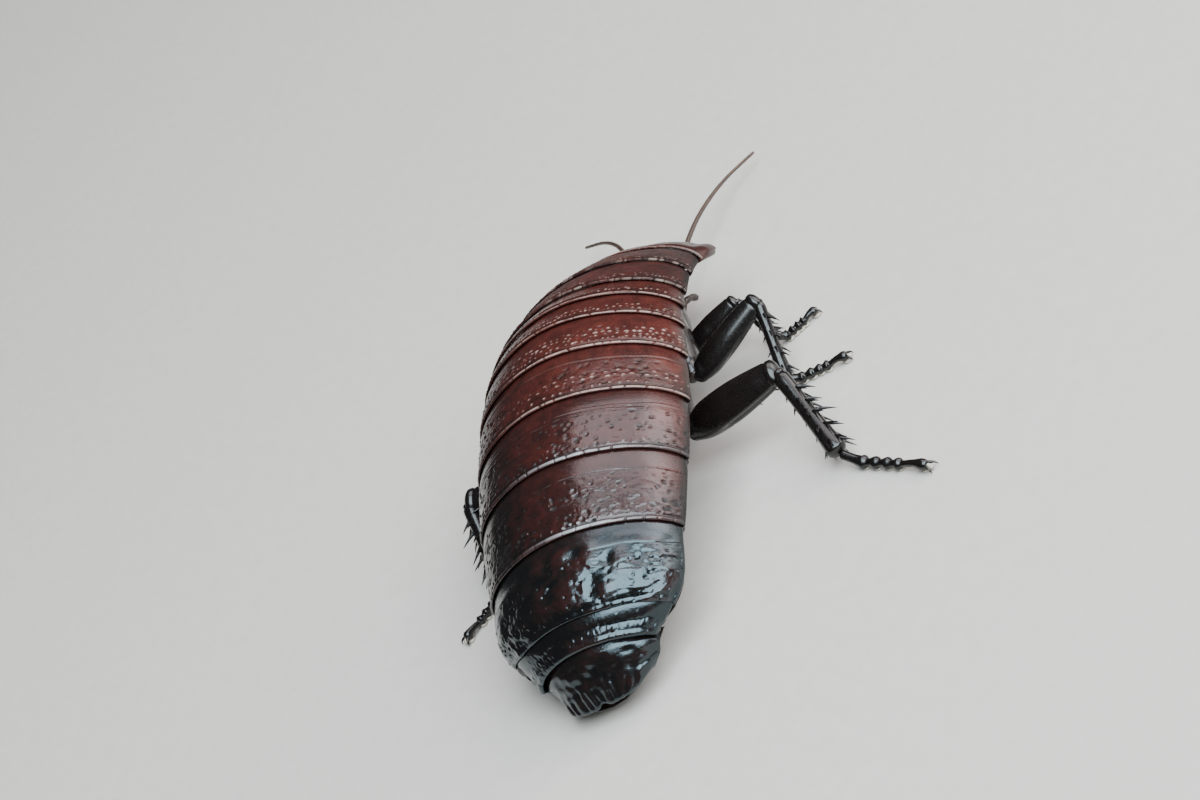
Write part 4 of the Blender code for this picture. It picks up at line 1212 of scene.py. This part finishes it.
def build_head():
    bm = bmesh.new()

    def spot(share, turn):
        t = head_share(share)
        close = cap((t + OVERHANG) / (1 + 2 * OVERHANG), 0.06)
        u = WIDE(t) * close * math.cos(turn)
        depth = THICK(t) * close * math.copysign(abs(math.sin(turn)) ** 0.9, math.sin(turn))
        out = Vector((math.cos(turn), 0, 0)) * 0.5 + HEAD_FACE * math.sin(turn)
        return head_point(t, u, depth) + out * (head_move(t, u, math.sin(turn) > 0) * close)

    drawn_out(bm, spot, 112, 120, 0, head_tone)
    tube(bm, head_line(LIP, 16), lip_radius, 32, 26, 0, 0.42)
    for side in (-1, 1):
        def jaw_radius(t, turn, side=side):
            size = float(np.interp(t, (0, 0.25, 0.6, 1.0), (0.50, 0.60, 0.46, 0.16)))
            teeth = 0.12 * math.sin(t * 38) * step(t, 0.62, 0.75) * max(0.0, math.cos(turn) * -side)
            return size * cap(t, 0.08) * (1 + teeth)

        tube(bm, head_line(JAW, 18, side), jaw_radius, 18, 30, 0, lambda share, a: 0.72 + 0.25 * share)
        lobe = lambda t, a: 0.34 * (1 - 0.45 * t) * cap(t, 0.15)
        tube(bm, head_line(GALEA, 12, side), lobe, 12, 14, 0, 0.30)
        beads = lambda t, a: 0.21 * (1 - 0.22 * abs(math.cos(3 * math.pi * t)) ** 8) * cap(t, 0.10)
        tube(bm, head_line(LIP_FEELER, 22, side), beads, 12, 36, 0, 0.40, ease=0.0)
    chin = lambda t, a: (1.05 - 0.45 * t) * flat_round(a, 0.32) * cap(t, 0.12)
    tube(bm, head_line(CHIN, 12), chin, 24, 18, 0, 0.36)
    finished("head_capsule", bm, [face], "shell_dark", "head")


build_head()
print("triangles of the head:", triangles["head_capsule"])

# %% [markdown]
# ## Eyes
# Each compound eye is a kidney that wraps round a feeler socket, made of
# thousands of lenses of about 0.04 mm. Modelling them would take millions of
# faces, so a fine Voronoi bump draws their domes on a smooth kidney.

# %% Compound eyes
def eye_finish():
    made, tree, shader = material("eye_black")
    lenses = node(tree, "TexVoronoi", {"Scale": 15.0}, feature="F1")
    tree.links.new(in_millimetres(tree), lenses.inputs["Vector"])
    away = lenses.outputs["Distance"]
    tint = coloured(tree, away, ((0.0, (0.016, 0.011, 0.009)), (0.6, (0.007, 0.006, 0.007))))
    tree.links.new(tint, shader.inputs["Base Color"])
    tree.links.new(mapped(tree, away, (0.0, 1.0), (0.10, 0.26)), shader.inputs["Roughness"])
    tree.links.new(bumped(tree, away, 0.8, 0.010, invert=True), shader.inputs["Normal"])
    shader.inputs["Coat Weight"].default_value = 0.8
    shader.inputs["Coat Roughness"].default_value = 0.08
    return made


eye_black = eye_finish()


def build_eye(side, word):
    bm = bmesh.new()

    def spot(share, turn):
        rise = -math.cos(math.pi * share)
        ring = math.sin(math.pi * share)
        inner = max(0.0, -side * math.cos(turn) * 0.75 + math.sin(turn) * 0.66)
        pinch = 1 - 0.34 * inner**2 * peak(rise, -0.05, 0.42)
        x = 0.98 * ring * math.cos(turn) * pinch
        out = 1.12 * ring * math.sin(turn) * pinch
        return head_point(0.30 - rise * 1.50 / HEAD_LONG, side * 2.52 + x, 0.42 + out)

    drawn_out(bm, spot, 48, 40)
    finished(f"eye_kidney_{word}", bm, [eye_black], "eye_black", f"eye_{word}")


for side, word in SIDES:
    build_eye(side, word)
print("triangles of one eye:", triangles["eye_kidney_left"])

# %% [markdown]
# ## Feelers and palps
# A feeler has a thick root joint, a short second joint and about eighty rings,
# each a little wider at its far end and ringed with fine hairs. It starts as
# one long ball with four rings of points to each of its rings. The palps are
# five-jointed fingers that taste the ground in front of the mouth.

# %% Feelers
FEELER_STOPS = (
    (0.00, (0.085, 0.040, 0.020)),
    (0.40, (0.038, 0.017, 0.010)),
    (1.00, (0.008, 0.005, 0.004)),
)
feeler_brown = chitin("feeler_brown", FEELER_STOPS, (0.34, 0.55), 0.15, 12.0, 0.008, 0.25, tiny=30.0)
bristle = chitin("bristle_brown", ((0.0, (0.030, 0.016, 0.010)), (1.0, (0.010, 0.006, 0.005))),
                 (0.35, 0.50), 0.10, 4.0, 0.002, 0.2, tone=False)
FEELERS = {
    "right": ((1.75, 34.05, 5.55), (2.1, 35.1, 4.6), (2.5, 37.2, 4.15), (3.3, 42.2, 4.4),
              (4.4, 48.6, 3.9), (6.4, 55.0, 2.8), (9.4, 60.2, 1.6)),
    "left": ((-1.75, 34.05, 5.55), (-2.1, 35.1, 4.6), (-2.6, 37.2, 4.15), (-3.9, 42.2, 4.6),
             (-6.2, 48.2, 4.4), (-9.8, 53.4, 3.2), (-14.0, 57.0, 1.8)),
}
FEELER_SEEDS = {"right": 502, "left": 501}
RINGS = 80
# Shares of the feeler: root joint, second joint, where the rings begin, all rings.
ROOT_LONG = 0.045
SECOND_LONG = 0.025
RINGS_START = 0.07
RINGS_LONG = 0.93


def ring_share(share):
    """How far a share of the feeler is along its own ring, 0 to 1."""
    return ((share - RINGS_START) / RINGS_LONG * RINGS) % 1.0


def feeler_radius(t, turn):
    if t < ROOT_LONG:
        return 0.46 * (0.82 + 0.18 * math.sin(math.pi * t / ROOT_LONG)) * cap(t, 0.006)
    if t < RINGS_START:
        return 0.36 + 0.05 * math.sin(math.pi * (t - ROOT_LONG) / SECOND_LONG)
    full = 0.36 - 0.19 * (t - RINGS_START) / RINGS_LONG
    return full * (0.86 + 0.14 * math.sin(math.pi * min(1.0, ring_share(t) * 1.15)) ** 0.7) * cap(t, 0.006)


def feeler_tone(share, turn):
    if share < RINGS_START:
        return 0.75
    return 0.55 - 0.30 * share - 0.22 * peak(ring_share(share), 0.0, 0.12)


for word, points in FEELERS.items():
    bm = bmesh.new()
    line = framed(points, 160)
    tube(bm, line, feeler_radius, 12, RINGS * 4 + 24, 0, feeler_tone, ease=0.0)
    ring_hairs(bm, line, feeler_radius, 520, 12, random.Random(FEELER_SEEDS[word]), (0.16, 0.30), 0.7)
    finished(f"feeler_{word}", bm, [feeler_brown, bristle], "feeler_brown", f"antenna_{word}")
print("triangles of one feeler:", triangles["feeler_left"])

# %% Palps
PALP = ((1.5, 31.75, 3.3), (2.25, 32.6, 2.45), (2.85, 33.9, 2.75), (3.2, 35.2, 2.2), (3.35, 36.2, 1.3))
PALP_JOINTS = (0.0, 0.10, 0.21, 0.48, 0.74, 1.0)
PALP_SIZES = (0.34, 0.36, 0.40, 0.40, 0.42)


def palp_radius(t, turn):
    i = max(0, min(4, int(np.searchsorted(PALP_JOINTS, t, side="right")) - 1))
    part = (t - PALP_JOINTS[i]) / (PALP_JOINTS[i + 1] - PALP_JOINTS[i])
    swell = math.sin(math.pi * min(1.0, 0.12 + part * 0.80)) ** 0.6
    return PALP_SIZES[i] * (0.70 + 0.30 * swell) * cap(t, 0.07)


def palp_tone(share, turn):
    return 0.62 - 0.45 * max(peak(share, joint, 0.018) for joint in PALP_JOINTS[1:])


for side, word in SIDES:
    bm = bmesh.new()
    line = framed([(side * x, y, z) for x, y, z in PALP], 60)
    tube(bm, line, palp_radius, 16, 110, 0, palp_tone, ease=0.0)
    ring_hairs(bm, line, palp_radius, 150, 10, random.Random(510 + side), (0.15, 0.30))
    finished(f"palp_joints_{word}", bm, [feeler_brown, bristle], "feeler_brown", f"palp_{word}")
print("triangles of one palp:", triangles["palp_joints_left"])

# %% [markdown]
# ## Neck and breast
# Between head and shield the neck is folded skin. On the breast three keeled
# shields lie between the roots of the legs. Both are thin pieces over the
# sleeve, so they follow its curve with a little height.

# %% Neck folds and breast shields
# Arc, half width, half length and depth of each breast shield.
BREAST = ((-2.2, 1.6, 1.9, 3.65), (2.6, 1.9, 2.4, 5.10), (7.6, 2.3, 2.2, 5.72))


def neck_and_breast():
    bm = bmesh.new()
    line = framed([(0, 29.0, 8.3), (0, 31.2, 7.7), (0, 33.3, 7.0)], 30, (1, 0, 0))

    def folds(t, turn):
        fold = 0.045 * math.sin(t * 34 + 0.8 * math.sin(2 * turn))
        return (2.05 - 0.45 * t) * (1 + fold) * cap(t, 0.05)

    tube(bm, line, folds, 48, 60, 0, 0.45, ease=0.2)
    for arc, half, long, depth in BREAST:
        def spot(share, turn, arc=arc, half=half, long=long, depth=depth):
            ring = math.sin(math.pi * share) ** 0.8
            rise = -math.cos(math.pi * share)
            x = half * ring * math.cos(turn)
            keel = 0.20 * peak(x, 0.0, 0.18) * (rise < 0) * ring
            along = long * ring * math.sin(turn) * (0.8 + 0.2 * math.cos(2 * turn))
            return body_point(arc + along, x, -depth + 0.30 + 0.05 * x * x + 0.42 * rise - keel)

        drawn_out(bm, spot, 40, 24, 1, 0.52)
    finished("neck_and_breast", bm, [soft, belly], "underside_brown", "thorax_underside")


neck_and_breast()
print("triangles of neck and breast:", triangles["neck_and_breast"])

# %% [markdown]
# ## Breathing holes
# The hiss comes out of spiracles, oval holes with a raised dark lip in the soft
# skin under the margins. Each is a small oval ball with a dented outer side.

# %% Spiracles
def spiracles():
    bm = bmesh.new()
    for number in range(1, 8):
        middle = (ABDOMEN[number - 1] + ABDOMEN[number]) / 2 + 0.4
        half = float(station(middle)[HALF])
        for side in (-1, 1):
            root = body_point(middle, side * (half - 1.02), -0.86)

            def spot(share, turn, root=root, side=side):
                out = -math.cos(math.pi * share)
                ring = math.sin(math.pi * share)
                hole = 0.16 * peak(ring, 0.0, 0.45) if out > 0 else 0.0
                across = side * (0.14 * out - hole)
                return root + Vector((across, 0.34 * ring * math.cos(turn), 0.20 * ring * math.sin(turn)))

            drawn_out(bm, spot, 16, 18, 0, lambda share, turn: 0.95 if share > 0.75 else 0.6)
    finished("spiracles", bm, [belly], "underside_brown")


spiracles()
print("triangles of the spiracles:", triangles["spiracles"])

# %% [markdown]
# ## Legs
# A cockroach's leg folds like a rule: a broad flat coxa against the body, the
# strong thigh, the spiny shin and a foot of five beads with pale pads and two
# claws. The spines on the shin are real weapons, set in sockets in five rows.
# They lean towards the foot. Chance bends each row a little, as in life.

# %% Places and sizes of the legs, in millimetres
# Coxa's root, trochanter, knee, ankle and the foot's tip.
LEGS = {
    "front_right": ((4.0, 28.2, 7.4), (4.9, 22.4, 3.7), (12.1, 24.8, 5.7),
                    (14.8, 21.4, 1.35), (19.5, 24.3, 0.6)),
    "front_left": ((-4.0, 28.2, 7.4), (-4.9, 22.4, 3.7), (-11.3, 26.6, 5.8),
                   (-14.6, 31.4, 1.35), (-18.8, 35.8, 0.6)),
    "mid_right": ((5.6, 22.4, 9.2), (7.2, 15.0, 4.8), (16.7, 19.2, 8.1),
                  (16.6, 13.1, 1.35), (24.1, 13.4, 0.6)),
    "mid_left": ((-5.6, 22.4, 9.2), (-7.2, 15.0, 4.8), (-15.6, 20.4, 8.2),
                 (-18.2, 16.0, 1.35), (-22.9, 21.4, 0.6)),
    "hind_right": ((5.0, 15.6, 9.0), (6.9, 6.6, 4.6), (19.8, 5.3, 7.8),
                   (24.2, -4.2, 1.75), (34.4, -10.9, 0.6)),
    "hind_left": ((-5.0, 15.6, 9.0), (-6.9, 6.6, 4.6), (-20.0, 8.2, 7.1),
                  (-18.2, 0.0, 1.70), (-22.9, -6.4, 0.6)),
}
# Greatest radius of coxa, femur and tibia, and the spines in each row.
LEG_SIZES = {
    "front": (1.45, 1.30, 0.58, 4),
    "mid": (1.70, 1.55, 0.70, 4),
    "hind": (1.80, 2.15, 0.98, 5),
}
# Turn in degrees and size of each row of spines.
FEMUR_SPINES = ((-32, 1.0), (32, 1.0))
TIBIA_SPINES = ((0, 0.45), (110, 0.9), (152, 1.0), (200, 1.0), (245, 0.9))
SPURS = ((40, 0.8), (95, 1.0), (180, 0.9), (265, 1.0), (320, 0.8))
LEG_STOPS = (
    (0.00, (0.055, 0.026, 0.014)),
    (0.35, (0.017, 0.009, 0.007)),
    (0.65, (0.0075, 0.0055, 0.005)),
    (1.00, (0.0035, 0.003, 0.003)),
)
leg_black = chitin("leg_black", LEG_STOPS, (0.16, 0.30), 0.15, 9.0, 0.006, 0.22, index=1.45)
PAD_STOPS = ((0.0, (0.46, 0.40, 0.32)), (1.0, (0.30, 0.25, 0.19)))
pad_pale = chitin("foot_pad", PAD_STOPS, (0.45, 0.65), 0.05, 14.0, 0.008, 0.3, tone=False)
LEG_FINISHES = [leg_black, bristle, pad_pale]
PAD = 2


def limb(a, b):
    """Start, end and direction of a limb."""
    a, b = Vector(a), Vector(b)
    return a, b, (b - a).normalized()


def leg_plane(a, b, c):
    """Unit normal of the plane through trochanter, knee and ankle."""
    return (Vector(b) - Vector(a)).cross(Vector(c) - Vector(b)).normalized()


def from_up(turn):
    """Angle in radians between a turn of the tube and its up side, -pi to pi."""
    return (turn - math.pi / 2 + math.pi) % math.tau - math.pi


print("legs:", len(LEGS))

# %% Spines of a limb
def limb_spines(bm, a, b, up, radius, rows, shares, length, lean, rng):
    """Spines in rows around a limb, each at a turn and a share of the length."""
    a, b, along = limb(a, b)
    side = along.cross(up).normalized()
    for r, (row, full) in enumerate(rows):
        for share in shares:
            turn = math.radians(row + rng.uniform(-8, 8))
            out = up * math.cos(turn) + side * math.sin(turn)
            tilt = math.radians(lean + rng.uniform(-7, 7))
            way = (out * math.sin(tilt) + along * math.cos(tilt)).normalized()
            size = full * length * rng.uniform(0.8, 1.1) * (0.75 + 0.35 * share) + radius * 0.65
            last = 0.96 - size * math.cos(tilt) / (b - a).length
            at = min(last, share + 0.03 * (r % 2) + rng.uniform(-0.02, 0.02))
            root = a.lerp(b, at) + out * radius * 0.35
            if (root + way * size).z > 0.25:
                knob = root + way * radius * 0.45
                thick = 0.055 + 0.14 * min(1.0, size / 2.4)
                thorn(bm, knob, way, size - radius * 0.45, thick, along * 0.10)


def limb_hairs(bm, a, b, up, radius, count, length, rng, start=0.1):
    """Fine bristles all round a limb, leaning to its end."""
    a, b, along = limb(a, b)
    side = along.cross(up).normalized()
    for _ in range(count):
        turn = rng.uniform(0, math.tau)
        share = rng.uniform(start, 0.97)
        out = up * math.cos(turn) + side * math.sin(turn) * 0.85
        root = a.lerp(b, share) + out * radius * 0.92
        way = (out * 0.75 + along * rng.uniform(0.6, 1.3)).normalized()
        if root.z + way.z * length > 0.05:
            hair(bm, root, way, length * rng.uniform(0.6, 1.2), 0.016)


print("rows of spines on a shin:", len(TIBIA_SPINES))

# %% [markdown]
# ## Coxa, thigh and shin
# The coxa is flattened, with a keel along its outer edge. The thigh is flat as
# well, and has a groove on its folded side where the shin goes when the leg
# closes. The shin is four-edged and widens to the ring that holds its spurs.

# %% Upper leg pieces
COXA_THICK = table(((0.0, 0.95), (0.3, 1.0), (0.6, 0.92), (0.85, 0.74), (0.96, 0.62), (1.0, 0.52)))
FEMUR_THICK = table(((0.0, 0.52), (0.06, 0.66), (0.25, 0.98), (0.5, 1.0), (0.75, 0.86), (0.92, 0.72),
                     (1.0, 0.66)))
TIBIA_THICK = table(((0.0, 0.85), (0.10, 0.95), (0.35, 0.90), (0.7, 1.0), (0.93, 1.15), (1.0, 1.02)))


def coxa_shape(t, turn):
    keel = 0.13 * peak(math.cos(turn), 1, 0.10) + 0.10 * peak(math.cos(turn), -1, 0.10)
    groove = -0.05 * peak(t, 0.80, 0.02)
    return COXA_THICK(t) * (1 + keel + groove) * cap(t, 0.08) * (1 - 0.10 * abs(math.sin(turn)))


def femur_shape(t, turn):
    away = from_up(turn)
    groove = -0.20 * peak(away, 0.0, 0.24) * step(t, 0.25, 0.5)
    keels = 0.06 * peak(abs(away), 0.52, 0.14)
    knee = 0.12 * peak(t, 0.945, 0.03) * math.cos(turn) ** 2
    collar = -0.08 * peak(t, 0.905, 0.012)
    return FEMUR_THICK(t) * (1 + groove + keels + knee + collar) * cap(t, 0.05)


def tibia_shape(t, turn):
    edges = 0.020 * math.cos(4 * turn) * step(t, 0.05, 0.2)
    neck = -0.16 * peak(t, 0.055, 0.022)
    return TIBIA_THICK(t) * (1 + edges + neck) * cap(t, 0.05)


def upper_leg(name, seed):
    root, trochanter, knee, ankle, tip = LEGS[name]
    coxa, femur, tibia, count = LEG_SIZES[name.split("_")[0]]
    rng = random.Random(seed)
    extra = random.Random(seed + 700)
    normal = leg_plane(trochanter, knee, ankle)

    bm = bmesh.new()
    up = Vector((math.copysign(1, root[0]), 0.0, 0.9)).normalized()
    tube(bm, framed([root, trochanter], 12, up), lambda t, a: coxa * coxa_shape(t, a), 36, 44, 0,
         lambda share, a: 0.55 - 0.25 * peak(share, 0.97, 0.05), wide=1.05)
    limb_hairs(bm, root, trochanter, up, coxa * 0.95, 40, 0.35, extra, 0.3)
    finished(f"coxa_plate_{name}", bm, LEG_FINISHES, "leg_black", f"coxa_{name}")

    bm = bmesh.new()
    start, end, along = limb(trochanter, knee)
    up = normal.cross(along).normalized()
    knuckle = [start.lerp(Vector(root), 0.10), start.lerp(end, 0.02)]
    tube(bm, framed(knuckle, 8, up), lambda t, a: femur * 0.58 * cap(t, 0.30), 20, 14, 0, 0.35)
    thigh = framed([trochanter, start.lerp(end, 1.025)], 24, up)
    tube(bm, thigh, lambda t, a: femur * femur_shape(t, a), 40, 70, 0,
         lambda share, a: 0.78 - 0.30 * peak(share, 0.03, 0.03) + 0.2 * step(share, 0.9, 1.0), wide=0.62)
    limb_spines(bm, trochanter, knee, up, femur * 0.8, FEMUR_SPINES, (0.40, 0.60, 0.78), 0.8, 50, rng)
    limb_hairs(bm, trochanter, knee, up, femur * 0.74, 60, 0.30, extra)
    finished(f"femur_thigh_{name}", bm, LEG_FINISHES, "leg_black", f"femur_{name}")

    bm = bmesh.new()
    up = normal.cross(limb(knee, ankle)[2]).normalized()
    tube(bm, framed([knee, ankle], 24, up), lambda t, a: tibia * tibia_shape(t, a), 32, 64, 0,
         lambda share, a: 0.82 - 0.35 * peak(share, 0.06, 0.04), wide=0.92)
    shares = [0.19 + 0.63 * i / (count - 1) for i in range(count)]
    limb_spines(bm, knee, ankle, up, tibia * 0.95, TIBIA_SPINES, shares, 2.3 * tibia, 50, rng)
    limb_spines(bm, knee, ankle, up, tibia, SPURS, (0.90,), 1.5 * tibia, 42, extra)
    limb_hairs(bm, knee, ankle, up, tibia, 130, 0.55, extra)
    finished(f"tibia_shin_{name}", bm, LEG_FINISHES, "leg_black", f"tibia_{name}")


for seed, name in enumerate(LEGS, start=3):
    upper_leg(name, seed)
print("triangles of the hind shin:", triangles["tibia_shin_hind_right"])

# %% [markdown]
# ## Feet
# Five beads, each a small cup that the next one sits in, carry pale pads that
# press flat on the floor, and the last bead ends in two claws with a soft lobe
# between them. All points that would sink under the floor are set on it.

# %% Foot beads, pads and claws
FOOT = table(((0.00, 0.50), (0.12, 0.50), (0.23, 0.74), (0.255, 0.60), (0.275, 0.42),
              (0.37, 0.68), (0.395, 0.54), (0.415, 0.41), (0.50, 0.66), (0.525, 0.52),
              (0.545, 0.41), (0.62, 0.66), (0.645, 0.50), (0.665, 0.36), (0.78, 0.40),
              (0.89, 0.60), (0.94, 0.48), (1.0, 0.40)))
PADS = ((0.22, 0.56), (0.36, 0.54), (0.49, 0.52), (0.61, 0.52), (0.90, 0.50))
BEAD_JOINTS = (0.27, 0.41, 0.54, 0.66)
BEADS_END = 0.945
BEAD_HEIGHT = 0.64
# Share, sideways and rise of the knots of a claw and of the lobe between the claws.
CLAW = ((0.90, 0.10, 0.0), (0.945, 0.34, 0.14), (0.985, 0.58, -0.02), (1.0, 0.64, -0.30))
LOBE = ((0.92, 0, 0.0), (0.955, 0, -0.05), (0.985, 0, -0.22))


def foot_height(share, start):
    """Height of the foot's middle line over the floor."""
    if share < 0.2:
        return start + (BEAD_HEIGHT - start) * share / 0.2
    return BEAD_HEIGHT + (0.22 * math.sin(math.pi * (share - 0.65) / 0.30) if share > 0.65 else 0.0)


def foot(name):
    ankle, tip = (Vector(point) for point in LEGS[name][3:])
    way = Vector((tip.x - ankle.x, tip.y - ankle.y, 0))
    length = way.length
    way.normalize()
    side = way.cross(UPWARD)
    scale = min(1.0, 0.72 + length / 40)
    rng = random.Random(len(name) * 7 + 800)

    def at(share):
        point = ankle + way * length * share
        return Vector((point.x, point.y, foot_height(share, ankle.z)))

    def tip_line(knots, count, turn=1):
        spots = [at(share) + side * turn * across + UPWARD * rise for share, across, rise in knots]
        return framed(spots, count)

    bm = bmesh.new()
    line = framed([at(i / 40 * BEADS_END) for i in range(41)], 60)
    bead = lambda t, a: scale * FOOT(t * BEADS_END) * cap(t, 0.035) * (1 + 0.03 * math.cos(3 * a))
    tone = lambda share, a: 0.84 - 0.20 * max(peak(share * BEADS_END, spot, 0.010) for spot in BEAD_JOINTS)
    tube(bm, line, bead, 22, 110, 0, tone, ease=0.0)
    for share, radius in PADS:
        def pad(part, turn, centre=at(share), radius=radius):
            ring = math.sin(math.pi * part)
            across = side * radius * 1.05 * ring * math.cos(turn)
            along = way * radius * 0.95 * ring * math.sin(turn)
            rise = -0.24 * math.cos(math.pi * part)
            return Vector((centre.x, centre.y, 0.16)) + (across + along) + UPWARD * rise

        drawn_out(bm, pad, 16, 12, PAD, 0.5)
    for turn in (-1, 1):
        claw = lambda t, a: scale * (0.27 - 0.24 * t) * cap(t, 0.05)
        tube(bm, tip_line(CLAW, 16, turn), claw, 10, 22, 0, lambda share, a: 0.4 + 0.6 * share, ease=0.2)
    tube(bm, tip_line(LOBE, 8), lambda t, a: scale * 0.26 * cap(t, 0.3), 14, 12, PAD, 0.5)
    for _ in range(90):
        share = rng.uniform(0.05, 0.88)
        turn = rng.uniform(0, math.tau)
        out = side * math.cos(turn) + UPWARD * math.sin(turn)
        root = at(share) + out * scale * FOOT(share) * 0.93
        lean = (out * 0.8 + way).normalized()
        if root.z + lean.z * 0.4 > 0.03:
            hair(bm, root, lean, rng.uniform(0.22, 0.42), 0.016)
    for vert in bm.verts:
        vert.co.z = max(vert.co.z, 0.0)
    finished(f"foot_beads_{name}", bm, LEG_FINISHES, "leg_black", f"tarsus_{name}")


for name in LEGS:
    foot(name)
print("triangles of one foot:", triangles["foot_beads_hind_right"])

# %% [markdown]
# ## Tail feelers
# Two short ringed cerci stick out beside the last plate and feel air currents.
# Each is one ball with eleven rings and long fine hairs.

# %% Cerci
CERCUS = ((54.3, 2.4, 0.45), (55.8, 3.0, 0.15), (57.2, 3.6, -0.35))
CERCUS_RINGS = 11


def cercus_radius(t, turn):
    swell = abs(math.sin(CERCUS_RINGS * math.pi * t)) ** 0.6
    return (0.50 - 0.20 * t) * (0.86 + 0.14 * swell) * cap(t, 0.08)


def cercus_tone(share, turn):
    return 0.85 - 0.25 * abs(math.cos(CERCUS_RINGS * math.pi * share)) ** 6


for side, word in SIDES:
    bm = bmesh.new()
    line = framed([place(np.array(arc), side * across, height) for arc, across, height in CERCUS], 40)
    tube(bm, line, cercus_radius, 20, 100, 0, cercus_tone, ease=0.0)
    ring_hairs(bm, line, cercus_radius, 80, 8, random.Random(900 + side), (0.25, 0.55), 1.0, 0.6, 0.013)
    finished(f"cercus_rings_{word}", bm, [leg_black, bristle], "shell_dark", f"cercus_{word}")
print("triangles of one cercus:", triangles["cercus_rings_left"])

# %% [markdown]
# ## Floor, light and camera
# The animal stands on a plain pale floor. A soft, slightly blue light box hangs
# behind it on the right, and its mirror image is the bright patch on the dented
# seventh plate. A weaker panel further ahead gives the grey-pink sheen of the
# middle plates, and a warm one low on the right models the legs. The camera
# looks from the photo's angle, behind and to the right, with a long lens.

# %% Floor
def pale_floor():
    bm = bmesh.new()
    bmesh.ops.create_grid(bm, x_segments=8, y_segments=8, size=1.6)
    mesh = bpy.data.meshes.new("floor")
    bm.to_mesh(mesh)
    bm.free()
    paper, tree, shader = material("pale_paper")
    grain = mottled(tree, in_millimetres(tree), Scale=0.5, Detail=3.0)
    tint = coloured(tree, grain, ((0.3, (0.50, 0.462, 0.418)), (0.7, (0.53, 0.490, 0.445))))
    tree.links.new(tint, shader.inputs["Base Color"])
    shader.inputs["Roughness"].default_value = 0.85
    mesh.materials.append(paper)
    floor = bpy.data.objects.new("floor", mesh)
    bpy.context.scene.collection.objects.link(floor)


pale_floor()
print("floor laid")

# %% Soft boxes and the dim room
REAR_PLATES = Vector((0.0, -0.022, 0.010))
# Name, direction, distance, size in metres, power and colour.
BOXES = (
    ("window_box", (0.455, -0.395, 0.799), 0.70, (0.74, 0.63), 17.5, (0.80, 0.93, 1.0)),
    ("front_panel", (0.49, 0.40, 0.77), 0.75, (1.00, 0.36), 4.9, (1.0, 0.94, 0.97)),
    ("side_panel", (0.80, 0.45, 0.39), 0.80, (0.60, 0.50), 3.2, (1.0, 0.94, 0.91)),
)


def soft_box(name, direction, distance, size, power, colour):
    """Area light at a distance in a direction from the rear plates, facing them."""
    way = Vector(direction).normalized()
    lamp = bpy.data.lights.new(name, "AREA")
    lamp.shape = "RECTANGLE"
    lamp.size, lamp.size_y = size
    lamp.energy = power
    lamp.color = colour
    holder = bpy.data.objects.new(name, lamp)
    across = Vector((0, 1, 0)).cross(way).normalized()
    turn = Matrix((across, way.cross(across), way)).transposed()
    holder.matrix_world = Matrix.Translation(REAR_PLATES + way * distance) @ turn.to_4x4()
    bpy.context.scene.collection.objects.link(holder)


for box in BOXES:
    soft_box(*box)

room = bpy.context.scene.world or bpy.data.worlds.new("room")
bpy.context.scene.world = room
room.use_nodes = True
air = room.node_tree.nodes["Background"].inputs
air["Color"].default_value = (0.90, 0.94, 1.0, 1.0)
air["Strength"].default_value = 0.07
print("light boxes:", len(BOXES))

# %% Camera
# Its place in the part's coordinates, in mm, and the directions of its axes.
CAMERA_PLACE = (140.31, -254.50, 174.57)
CAMERA_RIGHT = (0.8234, 0.0980, -0.5590)
CAMERA_UP = (0.3798, 0.6367, 0.6710)
CAMERA_BACK = (0.4217, -0.7648, 0.4870)
lens = bpy.data.cameras.new("photo_camera")
lens.lens = 97.27
lens.sensor_width = 36.0
lens.shift_x = 0.0122
lens.shift_y = 0.0391
lens.clip_start = 0.01
camera = bpy.data.objects.new("photo_camera", lens)
camera.matrix_world = Matrix((CAMERA_RIGHT, CAMERA_UP, CAMERA_BACK)).transposed().to_4x4()
camera.location = Vector([spot - middle for spot, middle in zip(CAMERA_PLACE, CENTRE)]) * MM
bpy.context.scene.collection.objects.link(camera)
bpy.context.scene.camera = camera
print("camera distance in mm:", round(camera.location.length / MM))

# %% Sizes and the end
print("triangles in all:", sum(triangles.values()), "largest piece:", max(triangles.values()))
